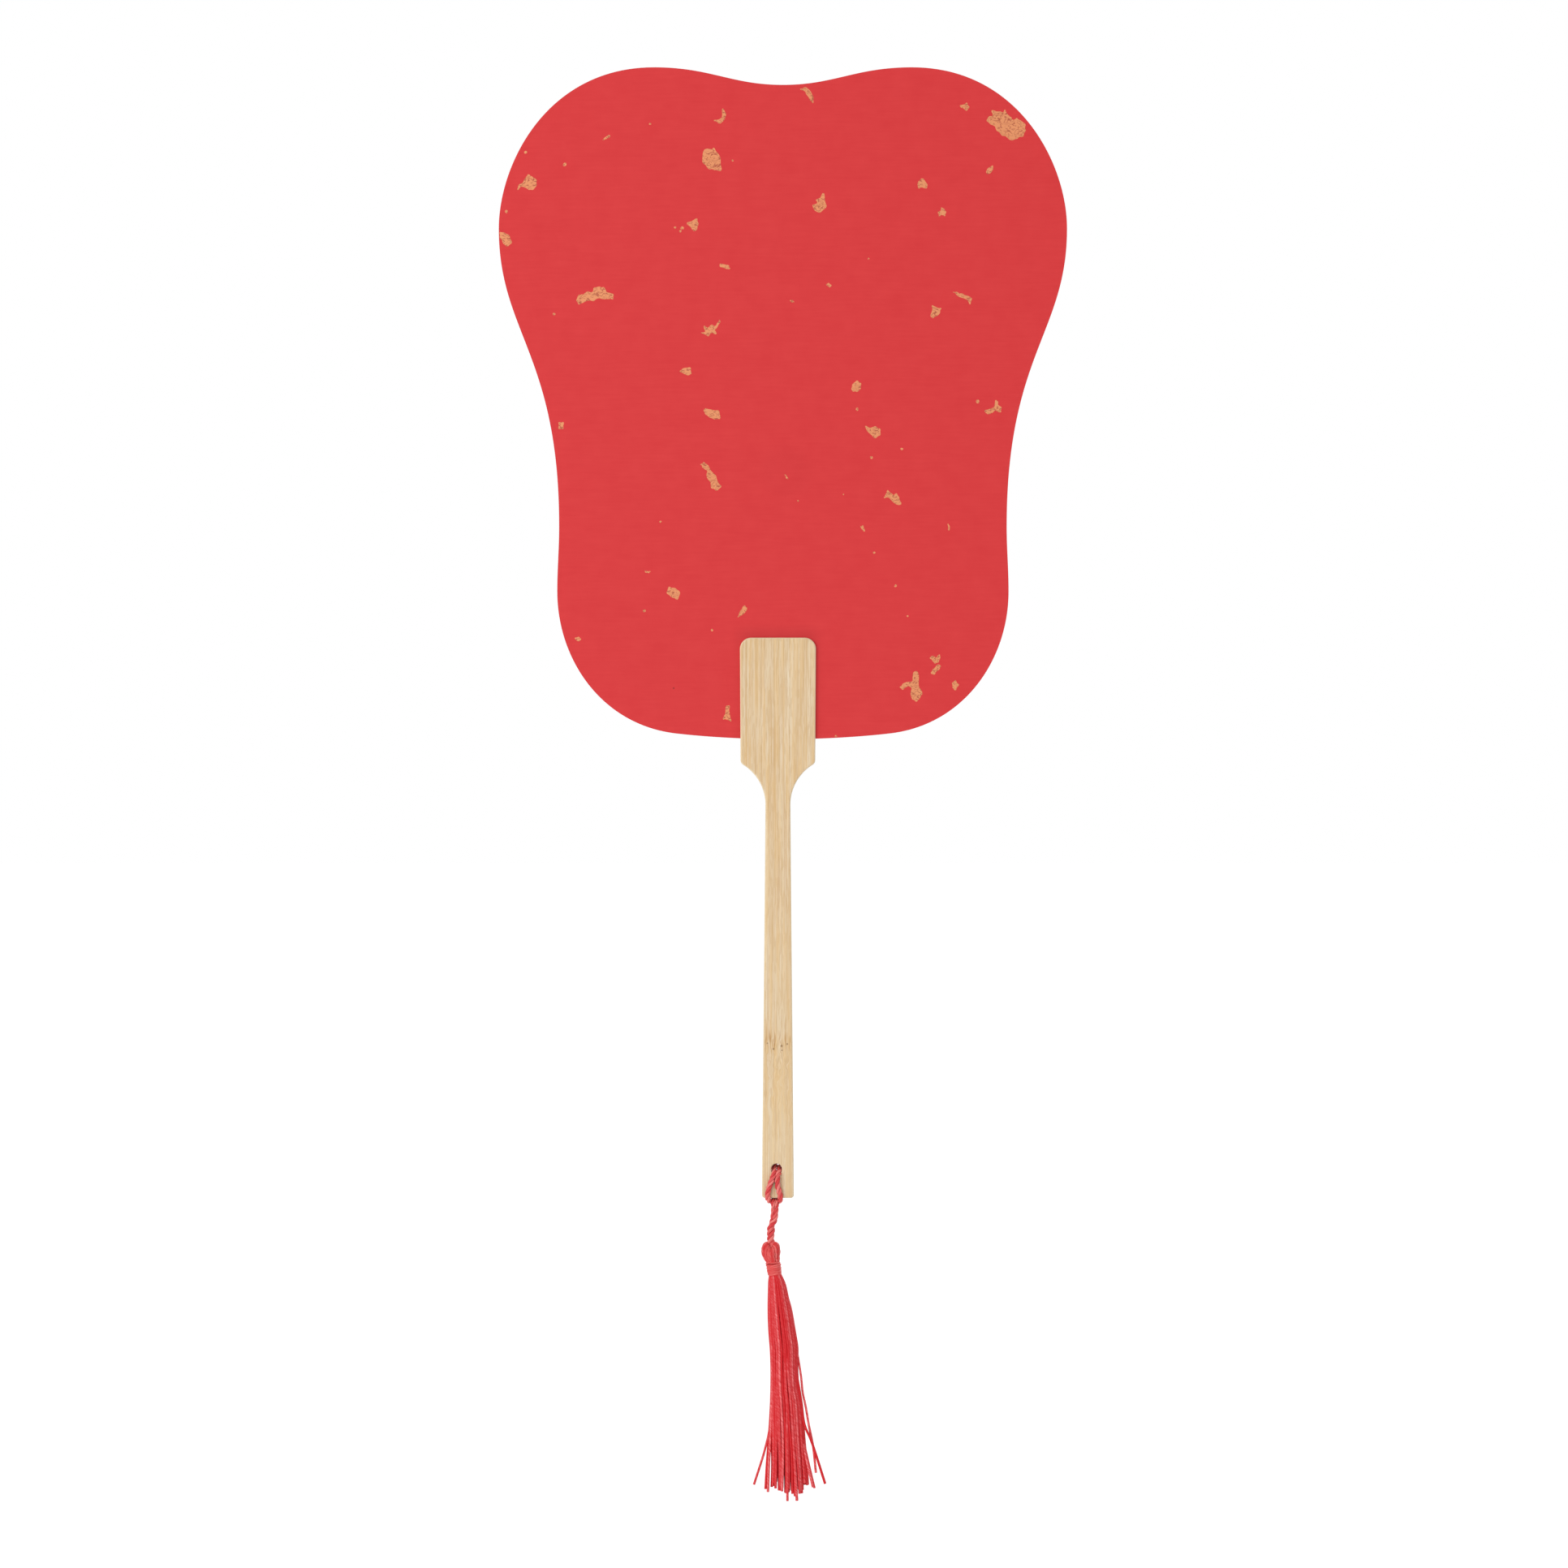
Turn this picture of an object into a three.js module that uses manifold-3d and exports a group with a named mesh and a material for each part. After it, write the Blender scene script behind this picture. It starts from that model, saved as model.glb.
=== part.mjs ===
// A rigid hand fan: a paper-faced card leaf glued into a slit bamboo handle, with a tassel on a cord.
// Millimetres. +Z runs up the handle, +X to the right, and the front face looks towards -Y.
// The origin is the middle of the grip, on the handle's centre line and half-way through it.
import * as THREE from 'three';
import { mergeVertices } from 'three/addons/utils/BufferGeometryUtils.js';
import Module from 'manifold-3d';

// Handle: a stem that widens to its lower end, a concave neck and a paddle.
const HANDLE_THICKNESS = 4;
const EDGE_CHAMFER = 0.5;
const GRIP_TO_END = 81.2; // from the origin down to the lower end
const STEM_LENGTH = 145.2; // from the lower end up to the neck
const STEM_END_WIDTH = 11.8;
const STEM_NECK_WIDTH = 9.2;
const STEM_CORNER_RADIUS = 1.2;
const NECK_RADIUS = 17.4;
const SHOULDER_WIDTH = 27.6;
const PADDLE_WIDTH = 28.1;
const PADDLE_HEIGHT = 46.4; // from the shoulders up to the paddle's top edge
const PADDLE_CORNER_RADIUS = 4.2;
const SHOULDER_ROUNDING = 1.3; // how far along both of its sides a shoulder's corner is rounded
const CORD_HOLE_DIAMETER = 4;
const CORD_HOLE_INSET = 10.7; // from the lower end up to the hole's centre
const CORD_HOLE_OFFSET = -0.5; // the hole is drilled a little left of the centre line

// Leaf: two papers glued on a board, slid into the paddle's saw slit.
const BOARD_THICKNESS = 0.8;
const PAPER_THICKNESS = 0.15;
const GLUE_LINE = 0.05;
const SLIT_CLEARANCE = 0.1;
const LEAF_INSERT = 37.5; // how deep the leaf sits in the slit
const LEAF_OFFSET = 1.85; // the leaf was glued in a little right of the handle's centre line
const LEAF_HEIGHT = 248.3;
const LEAF_WIDTH = 210;
const LEAF_WIDEST_HEIGHT = 188.7; // all leaf heights are from the leaf's lower edge
const LEAF_DIP_DEPTH = 6.5;
const LEAF_LOBE_SPACING = 95.4;
const LEAF_WAIST_WIDTH = 165.4;
const LEAF_WAIST_HEIGHT = 78.7;
const LEAF_BULGE_WIDTH = 166.8;
const LEAF_BULGE_HEIGHT = 54.6;
const LEAF_BASE_WIDTH = 76.6; // the nearly straight part of the lower edge
const LEAF_BASE_RISE = 2;
// Shares of each stretch of the leaf's edge that the two handles of its curve take up, from the top down.
const DIP_HANDLES = [0.4, 0.44];
const SHOULDER_HANDLES = [0.69, 0.4];
const TAPER_HANDLES = [0.35, 0.58];
const HOLLOW_HANDLES = [0.35, 0.35];
const CORNER_HANDLES = [0.48, 0.63];
const BASE_HANDLES = [0.26, 0.37];
const CORNER_LIFT = 2.3; // heights of the corner's and the base's handles, in base rises
const BASE_LIFT = 0.43;

// Cord: doubled, tied through the hole with a cow hitch, then hanging as a twisted pair.
const CORD_DIAMETER = 1.5;
const CORD_CLEARANCE = 0.3;
const STRAND_GAP = 0.1;
const CORD_TWIST_PITCH = 6;
const UPPER_TWIST_START = 0; // angles of the twist at the top of each stretch, in radians
const LOWER_TWIST_START = 0.8;
const HITCH_DROP = 3; // from the handle's lower end down to the end of the tied part
const SWING_GAP = 1.2; // half the open length of the cord at each place where it bends
const FOLD_GAP = 1.1;
const UPPER_CORD_LENGTH = 2.5;
const LOWER_CORD_LENGTH = 3.9;
const CORD_X = -1.2; // the pair hangs left of the handle's centre line
const CORD_Y = -1.8; // and in front of the handle's middle plane
const KINK_DRIFT = -0.75; // sideways drift of the pair from the hitch to the kink's lower side
const LOWER_DRIFT = -0.55;

// Tassel: a hollow head round the cord's knot, a bound neck and a skirt of threads.
const TASSEL_LEAN = 7.7 * (Math.PI / 180);
const HEAD_HEIGHT = 7.5;
const HEAD_DIAMETER = 6.5;
const HEAD_OPENING_CLEARANCE = 0.3;
const HEAD_WALL = 0.5;
const KNOT_DIAMETER = 3.2;
const NECK_HEIGHT = 4.8;
const BINDING_THREAD = 0.5;
const BINDING_TURNS = 6;
const NECK_GAP = 0.2;
const NECK_CLEARANCE = 0.1; // between the bundle and its binding
const THREAD_DIAMETER = 0.5;
const THREAD_GAP = 0.06;
const THREAD_RINGS = 3; // rings of threads round the middle of the bundle, six more in each
const SKIRT_LENGTH = 78;
const SKIRT_LENGTH_SPREAD = 3;
const SKIRT_FLARE_WIDE = 4.3; // how far the bundle opens from the neck to the tips, left to right
const SKIRT_FLARE_DEEP = 2.6; // and front to back
const SKIRT_FLARE_POWER = 0.6;
const SKIRT_DROOP = 5.8; // how far the leaning skirt falls back towards the plumb line at its tips
const TIP_SCATTER = 0.35;
const STRAY_REACH = 5.5; // how far a stray thread's tip stands out of the skirt
const STRAY_RIGHT = 0.8; // a thread strays when it lies further out than this share of the bundle
const STRAY_LEFT = -0.95;
const SCATTER_TURN = 2.4; // radians from one thread's scatter to the next
const LENGTH_TURN = 7.44; // and from one thread's length to the next
const THREAD_STATIONS = [0.08, 0.2, 0.36, 0.55, 0.77, 1]; // shares of the skirt's length
const THREAD_TOP = 0.74; // share of the head's height at which the threads start

// Fineness of the round shapes.
const BLADE_STEPS = 8;
const CHAMFER_STEPS = 2;
const LEAF_STEPS = 16;
const TUBE_SIDES = 8;
const TURNED_SIDES = 24;
const HITCH_STEPS = 80;
const PAIR_STEPS = 6;

// Levels and sizes that follow from the driving dimensions.
const END_Z = -GRIP_TO_END;
const NECK_Z = END_Z + STEM_LENGTH;
const NECK_ARC_X = STEM_NECK_WIDTH / 2 + NECK_RADIUS;
const NECK_ARC_ANGLE = Math.acos((NECK_ARC_X - SHOULDER_WIDTH / 2) / NECK_RADIUS);
const SHOULDER_Z = NECK_Z + NECK_RADIUS * Math.sin(NECK_ARC_ANGLE);
const PADDLE_TOP_Z = SHOULDER_Z + PADDLE_HEIGHT;
const HOLE_Z = END_Z + CORD_HOLE_INSET;
const LEAF_THICKNESS = BOARD_THICKNESS + 2 * (GLUE_LINE + PAPER_THICKNESS);
const LEAF_BASE_Z = PADDLE_TOP_Z - LEAF_INSERT;
const CORD_RADIUS = CORD_DIAMETER / 2;
const PAIR_OFFSET = (CORD_DIAMETER + STRAND_GAP) / 2;
const THREAD_PITCH = THREAD_DIAMETER + THREAD_GAP;
const BUNDLE_RADIUS = THREAD_RINGS * THREAD_PITCH + THREAD_DIAMETER / 2;
const NECK_RADIUS_INSIDE = BUNDLE_RADIUS + NECK_CLEARANCE;

const BAMBOO = '#e4cca4';
const CARD = '#c8a89c';
const RED_PAPER = '#dc4043';
const RED_CORD = '#de4446';
const RED_THREAD = '#d8383d';

const wasm = await Module();
wasm.setup();

// A polyline whose stations are exactly its points, so that a sweep turns only where they say.
class Route extends THREE.Curve {
  constructor(points) {
    super();
    this.points = points;
  }

  getPoint(t, target = new THREE.Vector3()) {
    const place = t * (this.points.length - 1);
    const index = Math.min(Math.floor(place), this.points.length - 2);
    return target.lerpVectors(this.points[index], this.points[index + 1], place - index);
  }

  getPointAt(u, target) {
    return this.getPoint(u, target);
  }

  getTangentAt(u, target) {
    return this.getTangent(u, target);
  }
}

function mesh(name, geometry, color, roughness) {
  const material = new THREE.MeshStandardMaterial({ color, roughness, metalness: 0 });
  const piece = new THREE.Mesh(geometry, material);
  piece.name = name;
  return piece;
}

// A tube along a route.
function tube(name, points, diameter, color) {
  const section = new THREE.Shape();
  for (let side = 0; side < TUBE_SIDES; side += 1) {
    const angle = (side * 2 * Math.PI) / TUBE_SIDES;
    const x = (diameter / 2) * Math.cos(angle);
    const y = (diameter / 2) * Math.sin(angle);
    if (side === 0) section.moveTo(x, y);
    else section.lineTo(x, y);
  }
  const options = { steps: points.length - 1, bevelEnabled: false, extrudePath: new Route(points) };
  return mesh(name, new THREE.ExtrudeGeometry(section, options), color, 0.7);
}

// A profile of [radius, height] points, listed from the top down its outside, turned about the Z axis.
function turned(name, profile, color) {
  const points = profile.map(([radius, height]) => new THREE.Vector2(radius, height)).reverse();
  const geometry = new THREE.LatheGeometry(points, TURNED_SIDES);
  geometry.rotateX(Math.PI / 2);
  return mesh(name, geometry, color, 0.75);
}

// Stands a flat geometry, drawn in X and Y and extruded from 0 along Z, upright with its middle at y = 0.
function upright(geometry, depth) {
  geometry.rotateX(Math.PI / 2);
  geometry.translate(0, depth / 2, 0);
  return geometry;
}

function solidOf(geometry) {
  geometry.deleteAttribute('normal');
  geometry.deleteAttribute('uv');
  const merged = mergeVertices(geometry);
  return new wasm.Manifold(new wasm.Mesh({
    numProp: 3,
    vertProperties: new Float32Array(merged.attributes.position.array),
    triVerts: new Uint32Array(merged.index.array),
  }));
}

function geometryOf(solid) {
  const cut = solid.getMesh();
  const geometry = new THREE.BufferGeometry();
  geometry.setAttribute('position', new THREE.BufferAttribute(cut.vertProperties, 3));
  geometry.setIndex(new THREE.BufferAttribute(cut.triVerts, 1));
  geometry.computeVertexNormals();
  return geometry;
}

// The handle's outline in X and Z, drawn anticlockwise from the right of its lower end.
function handleOutline() {
  const end = STEM_END_WIDTH / 2;
  const endCorner = end - STEM_CORNER_RADIUS;
  const top = PADDLE_WIDTH / 2;
  const topCorner = top - PADDLE_CORNER_RADIUS;
  const topCornerZ = PADDLE_TOP_Z - PADDLE_CORNER_RADIUS;
  const shoulder = SHOULDER_WIDTH / 2;
  const roundedZ = SHOULDER_Z + SHOULDER_ROUNDING;
  const neckTurn = NECK_ARC_ANGLE - SHOULDER_ROUNDING / NECK_RADIUS;
  const quarter = Math.PI / 2;
  const outline = new THREE.Shape();
  outline.absarc(endCorner, END_Z + STEM_CORNER_RADIUS, STEM_CORNER_RADIUS, -quarter, 0, false);
  outline.absarc(NECK_ARC_X, NECK_Z, NECK_RADIUS, Math.PI, Math.PI - neckTurn, true);
  outline.quadraticCurveTo(shoulder, SHOULDER_Z, shoulder, roundedZ);
  outline.absarc(topCorner, topCornerZ, PADDLE_CORNER_RADIUS, 0, quarter, false);
  outline.absarc(-topCorner, topCornerZ, PADDLE_CORNER_RADIUS, quarter, Math.PI, false);
  outline.lineTo(-shoulder, roundedZ);
  outline.quadraticCurveTo(-shoulder, SHOULDER_Z, -NECK_ARC_X + NECK_RADIUS * Math.cos(neckTurn),
    NECK_Z + NECK_RADIUS * Math.sin(neckTurn));
  outline.absarc(-NECK_ARC_X, NECK_Z, NECK_RADIUS, neckTurn, 0, true);
  outline.absarc(-endCorner, END_Z + STEM_CORNER_RADIUS, STEM_CORNER_RADIUS, Math.PI, 3 * quarter, false);
  outline.closePath();
  const hole = new THREE.Path();
  hole.absarc(CORD_HOLE_OFFSET, HOLE_Z, CORD_HOLE_DIAMETER / 2, 0, 2 * Math.PI, true);
  outline.holes.push(hole);
  return outline;
}

// One blade of bamboo with softened edges, a cord hole and a saw slit down the paddle.
function makeHandle() {
  const depth = HANDLE_THICKNESS - 2 * EDGE_CHAMFER;
  const blade = upright(new THREE.ExtrudeGeometry(handleOutline(), {
    depth,
    curveSegments: BLADE_STEPS,
    bevelThickness: EDGE_CHAMFER,
    bevelSize: EDGE_CHAMFER,
    bevelOffset: -EDGE_CHAMFER,
    bevelSegments: CHAMFER_STEPS,
  }), depth);
  const past = 5;
  const slitFloor = LEAF_BASE_Z - SLIT_CLEARANCE;
  const slitHeight = PADDLE_TOP_Z + past - slitFloor;
  const slitWidth = PADDLE_WIDTH + 2 * past;
  const slit = new THREE.BoxGeometry(slitWidth, LEAF_THICKNESS + 2 * SLIT_CLEARANCE, slitHeight);
  slit.translate(0, 0, slitFloor + slitHeight / 2);
  return mesh('handle', geometryOf(solidOf(blade).subtract(solidOf(slit))), BAMBOO, 0.55);
}

// Cubic curves down the right half of the leaf, from the dip in its top edge to its lower edge.
function leafHalf() {
  const base = LEAF_BASE_Z;
  const top = base + LEAF_HEIGHT;
  const dip = top - LEAF_DIP_DEPTH;
  const lobe = LEAF_LOBE_SPACING / 2;
  const widest = LEAF_WIDTH / 2;
  const widestZ = base + LEAF_WIDEST_HEIGHT;
  const waist = LEAF_WAIST_WIDTH / 2;
  const waistZ = base + LEAF_WAIST_HEIGHT;
  const bulge = LEAF_BULGE_WIDTH / 2;
  const bulgeZ = base + LEAF_BULGE_HEIGHT;
  const flat = LEAF_BASE_WIDTH / 2;
  const flatZ = base + LEAF_BASE_RISE;
  const shoulder = widest - lobe;
  const crown = top - widestZ;
  const taper = widestZ - waistZ;
  const hollow = waistZ - bulgeZ;
  const corner = bulge - flat;
  const cornerDrop = bulgeZ - flatZ;
  return {
    start: [0, dip],
    curves: [
      [
        [DIP_HANDLES[0] * lobe, dip],
        [(1 - DIP_HANDLES[1]) * lobe, top],
        [lobe, top],
      ],
      [
        [lobe + SHOULDER_HANDLES[0] * shoulder, top],
        [widest, widestZ + SHOULDER_HANDLES[1] * crown],
        [widest, widestZ],
      ],
      [
        [widest, widestZ - TAPER_HANDLES[0] * taper],
        [waist, waistZ + TAPER_HANDLES[1] * taper],
        [waist, waistZ],
      ],
      [
        [waist, waistZ - HOLLOW_HANDLES[0] * hollow],
        [bulge, bulgeZ + HOLLOW_HANDLES[1] * hollow],
        [bulge, bulgeZ],
      ],
      [
        [bulge, bulgeZ - CORNER_HANDLES[0] * cornerDrop],
        [flat + CORNER_HANDLES[1] * corner, base + CORNER_LIFT * LEAF_BASE_RISE],
        [flat, flatZ],
      ],
      [
        [(1 - BASE_HANDLES[0]) * flat, base + BASE_LIFT * LEAF_BASE_RISE],
        [BASE_HANDLES[1] * flat, base],
        [0, base],
      ],
    ],
  };
}

// The whole leaf: down the right half, then back up its mirror image.
function leafOutline() {
  const { start, curves } = leafHalf();
  const outline = new THREE.Shape();
  const right = ([x, z]) => [LEAF_OFFSET + x, z];
  const left = ([x, z]) => [LEAF_OFFSET - x, z];
  outline.moveTo(...right(start));
  for (const [first, second, end] of curves) {
    outline.bezierCurveTo(...right(first), ...right(second), ...right(end));
  }
  for (let index = curves.length - 1; index >= 0; index -= 1) {
    const [first, second] = curves[index];
    const end = index === 0 ? start : curves[index - 1][2];
    outline.bezierCurveTo(...left(second), ...left(first), ...left(end));
  }
  return outline;
}

// A sheet of the leaf's outline, with its middle at the given depth.
function leafSheet(name, thickness, middleY, color) {
  const options = { depth: thickness, curveSegments: LEAF_STEPS, bevelEnabled: false };
  const geometry = upright(new THREE.ExtrudeGeometry(leafOutline(), options), thickness);
  geometry.translate(0, middleY, 0);
  return mesh(name, geometry, color, 0.8);
}

function makeLeaf() {
  const paperY = BOARD_THICKNESS / 2 + GLUE_LINE + PAPER_THICKNESS / 2;
  return [
    leafSheet('leaf_board', BOARD_THICKNESS, 0, CARD),
    leafSheet('front_paper', PAPER_THICKNESS, -paperY, RED_PAPER),
    leafSheet('back_paper', PAPER_THICKNESS, paperY, RED_PAPER),
  ];
}

// The tied part of the cord. Each strand comes up from the hanging pair, passes over the bight and under
// the handle's end, climbs the back, goes through the hole and runs down the front into the bight.
function makeHitch() {
  const faceY = HANDLE_THICKNESS / 2 + CORD_CLEARANCE + CORD_RADIUS;
  const underZ = END_Z - CORD_CLEARANCE - CORD_RADIUS;
  const bightZ = underZ - CORD_DIAMETER - CORD_CLEARANCE;
  const stubZ = END_Z - HITCH_DROP;
  const holeZ = HOLE_Z - CORD_CLEARANCE;
  const turnZ = holeZ - CORD_CLEARANCE;
  const faceZ = holeZ - 1.8;
  const turnY = faceY - 0.65;
  const rise = (stubX, holeX) => [
    [stubX, CORD_Y, stubZ],
    [stubX, CORD_Y, stubZ + 0.8],
    [stubX, CORD_Y + 0.6, underZ - 0.25],
    [stubX, 0.4, underZ],
    [stubX, turnY - 0.4, underZ + 0.05],
    [stubX, faceY - 0.05, underZ + 1.05],
    [stubX, faceY, underZ + 3.2],
    [(stubX + holeX) / 2, faceY, (faceZ + underZ) / 2],
    [holeX, faceY, faceZ],
    [holeX, turnY, turnZ],
    [holeX, 0.8, holeZ],
    [holeX, -0.8, holeZ],
    [holeX, -turnY, turnZ],
  ];
  const leftLeg = [
    [-1.6, -faceY, faceZ],
    [-2.7, -faceY, END_Z + 5.7],
    [-3.8, -faceY, END_Z + 2.2],
    [-4.05, -faceY + 0.15, END_Z + 0.2],
    [-4, -2, underZ - 0.1],
    [-3.3, -0.7, bightZ + 0.35],
    [-2.5, 0.1, bightZ],
  ];
  const bightBottom = [[CORD_X, 0.6, bightZ - 0.15]];
  const rightLeg = [
    [-0.1, 0.1, bightZ],
    [0.75, -0.7, bightZ + 0.35],
    [1.45, -2, underZ - 0.1],
    [1.4, -faceY + 0.15, END_Z + 0.2],
    [0.9, -faceY, END_Z + 2.2],
    [0.1, -faceY, END_Z + 5.7],
    [0.3, -faceY, faceZ],
  ];
  const left = rise(CORD_X - PAIR_OFFSET, CORD_HOLE_OFFSET - PAIR_OFFSET);
  const right = rise(CORD_X + PAIR_OFFSET, CORD_HOLE_OFFSET + PAIR_OFFSET).reverse();
  const chosen = [...left, ...leftLeg, ...bightBottom, ...rightLeg, ...right];
  const curve = new THREE.CatmullRomCurve3(chosen.map((point) => new THREE.Vector3(...point)), false);
  return tube('hitch_loop', curve.getPoints(HITCH_STEPS), CORD_DIAMETER, RED_CORD);
}

// Two strands wound round each other from one point to another, starting at the given angle.
function twistedPair(name, from, to, startAngle) {
  const drop = from.distanceTo(to);
  return ['left', 'right'].map((side, strand) => {
    const points = [];
    for (let station = 0; station <= PAIR_STEPS; station += 1) {
      const share = station / PAIR_STEPS;
      const angle = startAngle + (1 - strand) * Math.PI + (share * drop * 2 * Math.PI) / CORD_TWIST_PITCH;
      const offset = new THREE.Vector3(Math.cos(angle), Math.sin(angle), 0).multiplyScalar(PAIR_OFFSET);
      points.push(new THREE.Vector3().lerpVectors(from, to, share).add(offset));
    }
    return tube(`${name}_${side}`, points, CORD_DIAMETER, RED_CORD);
  });
}

const SWING_Z = END_Z - HITCH_DROP - SWING_GAP;
const UPPER_TOP = new THREE.Vector3(CORD_X, CORD_Y, SWING_Z - SWING_GAP);
const UPPER_END = new THREE.Vector3(CORD_X + KINK_DRIFT / 3, CORD_Y, UPPER_TOP.z - UPPER_CORD_LENGTH);
const LOWER_TOP = new THREE.Vector3(CORD_X + KINK_DRIFT, CORD_Y, UPPER_END.z - 2 * FOLD_GAP);
const LOWER_END = new THREE.Vector3(LOWER_TOP.x + LOWER_DRIFT, CORD_Y, LOWER_TOP.z - LOWER_CORD_LENGTH);
const HEAD_TOP = new THREE.Vector3(LOWER_END.x, CORD_Y, LOWER_END.z - 2 * SWING_GAP);

// The folded middle of the threads: a bulb with a dimple where the cord enters, hollow for the knot.
function makeHead() {
  const outer = HEAD_DIAMETER / 2;
  const opening = CORD_RADIUS + HEAD_OPENING_CLEARANCE;
  const cavity = KNOT_DIAMETER / 2 + HEAD_OPENING_CLEARANCE;
  const foot = NECK_RADIUS_INSIDE + HEAD_WALL;
  return turned('tassel_head', [
    [opening, -0.12 * HEAD_HEIGHT],
    [0.58 * outer, 0],
    [0.84 * outer, -0.08 * HEAD_HEIGHT],
    [0.97 * outer, -0.22 * HEAD_HEIGHT],
    [outer, -0.42 * HEAD_HEIGHT],
    [0.94 * outer, -0.64 * HEAD_HEIGHT],
    [Math.max(0.85 * outer, foot), -0.83 * HEAD_HEIGHT],
    [foot, -HEAD_HEIGHT],
    [NECK_RADIUS_INSIDE, -HEAD_HEIGHT],
    [NECK_RADIUS_INSIDE, -0.72 * HEAD_HEIGHT],
    [Math.max(cavity, NECK_RADIUS_INSIDE), -0.6 * HEAD_HEIGHT],
    [cavity, -0.3 * HEAD_HEIGHT],
    [opening, -0.2 * HEAD_HEIGHT],
    [opening, -0.12 * HEAD_HEIGHT],
  ], RED_THREAD);
}

// The cord's ends knotted inside the head, with the short stub that comes up through the dimple.
function makeKnot() {
  const ball = KNOT_DIAMETER / 2;
  const middle = -0.3 * HEAD_HEIGHT - ball;
  return turned('cord_knot', [
    [0, -0.02 * HEAD_HEIGHT],
    [CORD_RADIUS, -0.02 * HEAD_HEIGHT],
    [CORD_RADIUS, middle + 0.88 * ball],
    [0.87 * ball, middle + 0.5 * ball],
    [ball, middle],
    [0.87 * ball, middle - 0.5 * ball],
    [0.5 * ball, middle - 0.87 * ball],
    [0, middle - ball],
  ], RED_CORD);
}

// The thread wound round the neck, as one ring with a ridge for each turn.
function makeBinding() {
  const top = -HEAD_HEIGHT - NECK_GAP;
  const turn = NECK_HEIGHT / BINDING_TURNS;
  const profile = [[NECK_RADIUS_INSIDE, top]];
  for (let index = 0; index < BINDING_TURNS; index += 1) {
    const start = top - index * turn;
    profile.push([NECK_RADIUS_INSIDE + 0.7 * BINDING_THREAD, start]);
    profile.push([NECK_RADIUS_INSIDE + BINDING_THREAD, start - turn / 2]);
  }
  profile.push([NECK_RADIUS_INSIDE + 0.7 * BINDING_THREAD, top - NECK_HEIGHT]);
  profile.push([NECK_RADIUS_INSIDE, top - NECK_HEIGHT]);
  profile.push([NECK_RADIUS_INSIDE, top]);
  return turned('neck_binding', profile, RED_THREAD);
}

// Places in the bundle on a honeycomb of rings round an empty middle, in thread pitches.
function bundlePlaces() {
  const places = [];
  for (let ring = 1; ring <= THREAD_RINGS; ring += 1) {
    for (let side = 0; side < 6; side += 1) {
      const from = (side * Math.PI) / 3;
      const to = ((side + 1) * Math.PI) / 3;
      for (let step = 0; step < ring; step += 1) {
        const share = step / ring;
        const x = ring * ((1 - share) * Math.cos(from) + share * Math.cos(to));
        const y = ring * ((1 - share) * Math.sin(from) + share * Math.sin(to));
        places.push({ x, y });
      }
    }
  }
  return places;
}

// One thread: straight through the neck, then opening with the skirt and drooping to the plumb line.
function makeThread(place, index) {
  const top = -THREAD_TOP * HEAD_HEIGHT;
  const neckEnd = -HEAD_HEIGHT - 2 * NECK_GAP - NECK_HEIGHT;
  const fall = index * SCATTER_TURN;
  const length = SKIRT_LENGTH + SKIRT_LENGTH_SPREAD * Math.sin(index * LENGTH_TURN);
  const side = place.x / THREAD_RINGS;
  const stray = side > STRAY_RIGHT || side < STRAY_LEFT ? STRAY_REACH * side : 0;
  const x = place.x * THREAD_PITCH;
  const y = place.y * THREAD_PITCH;
  const points = [new THREE.Vector3(x, y, top), new THREE.Vector3(x, y, neckEnd)];
  for (const share of THREAD_STATIONS) {
    const opening = share ** SKIRT_FLARE_POWER;
    const late = share ** 4;
    const wide = 1 + (SKIRT_FLARE_WIDE - 1) * opening;
    const deep = 1 + (SKIRT_FLARE_DEEP - 1) * opening;
    const droop = SKIRT_DROOP * share * share;
    const scatter = TIP_SCATTER * late;
    points.push(new THREE.Vector3(
      x * wide - droop + scatter * Math.cos(fall) + stray * late,
      y * deep + scatter * Math.sin(fall),
      neckEnd - share * length,
    ));
  }
  const number = String(index + 1).padStart(2, '0');
  return tube(`skirt_thread_${number}`, points, THREAD_DIAMETER, RED_THREAD);
}

function makeTassel() {
  const tassel = new THREE.Group();
  tassel.add(makeHead(), makeKnot(), makeBinding(), ...bundlePlaces().map(makeThread));
  tassel.position.copy(HEAD_TOP);
  tassel.rotation.y = -TASSEL_LEAN;
  return tassel;
}

const fan = new THREE.Group();
fan.add(makeHandle(), ...makeLeaf(), makeHitch());
fan.add(...twistedPair('cord_upper', UPPER_TOP, UPPER_END, UPPER_TWIST_START));
fan.add(...twistedPair('cord_lower', LOWER_TOP, LOWER_END, LOWER_TWIST_START));
fan.add(makeTassel());

export default fan;
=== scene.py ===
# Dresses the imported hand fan: a gold-flecked red paper leaf, a bamboo handle, a hitched cord and a tassel.
# Metres, in the part's own frame: +Z up the handle, +X to the right, and the front looks towards -Y.
import math
import random

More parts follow.
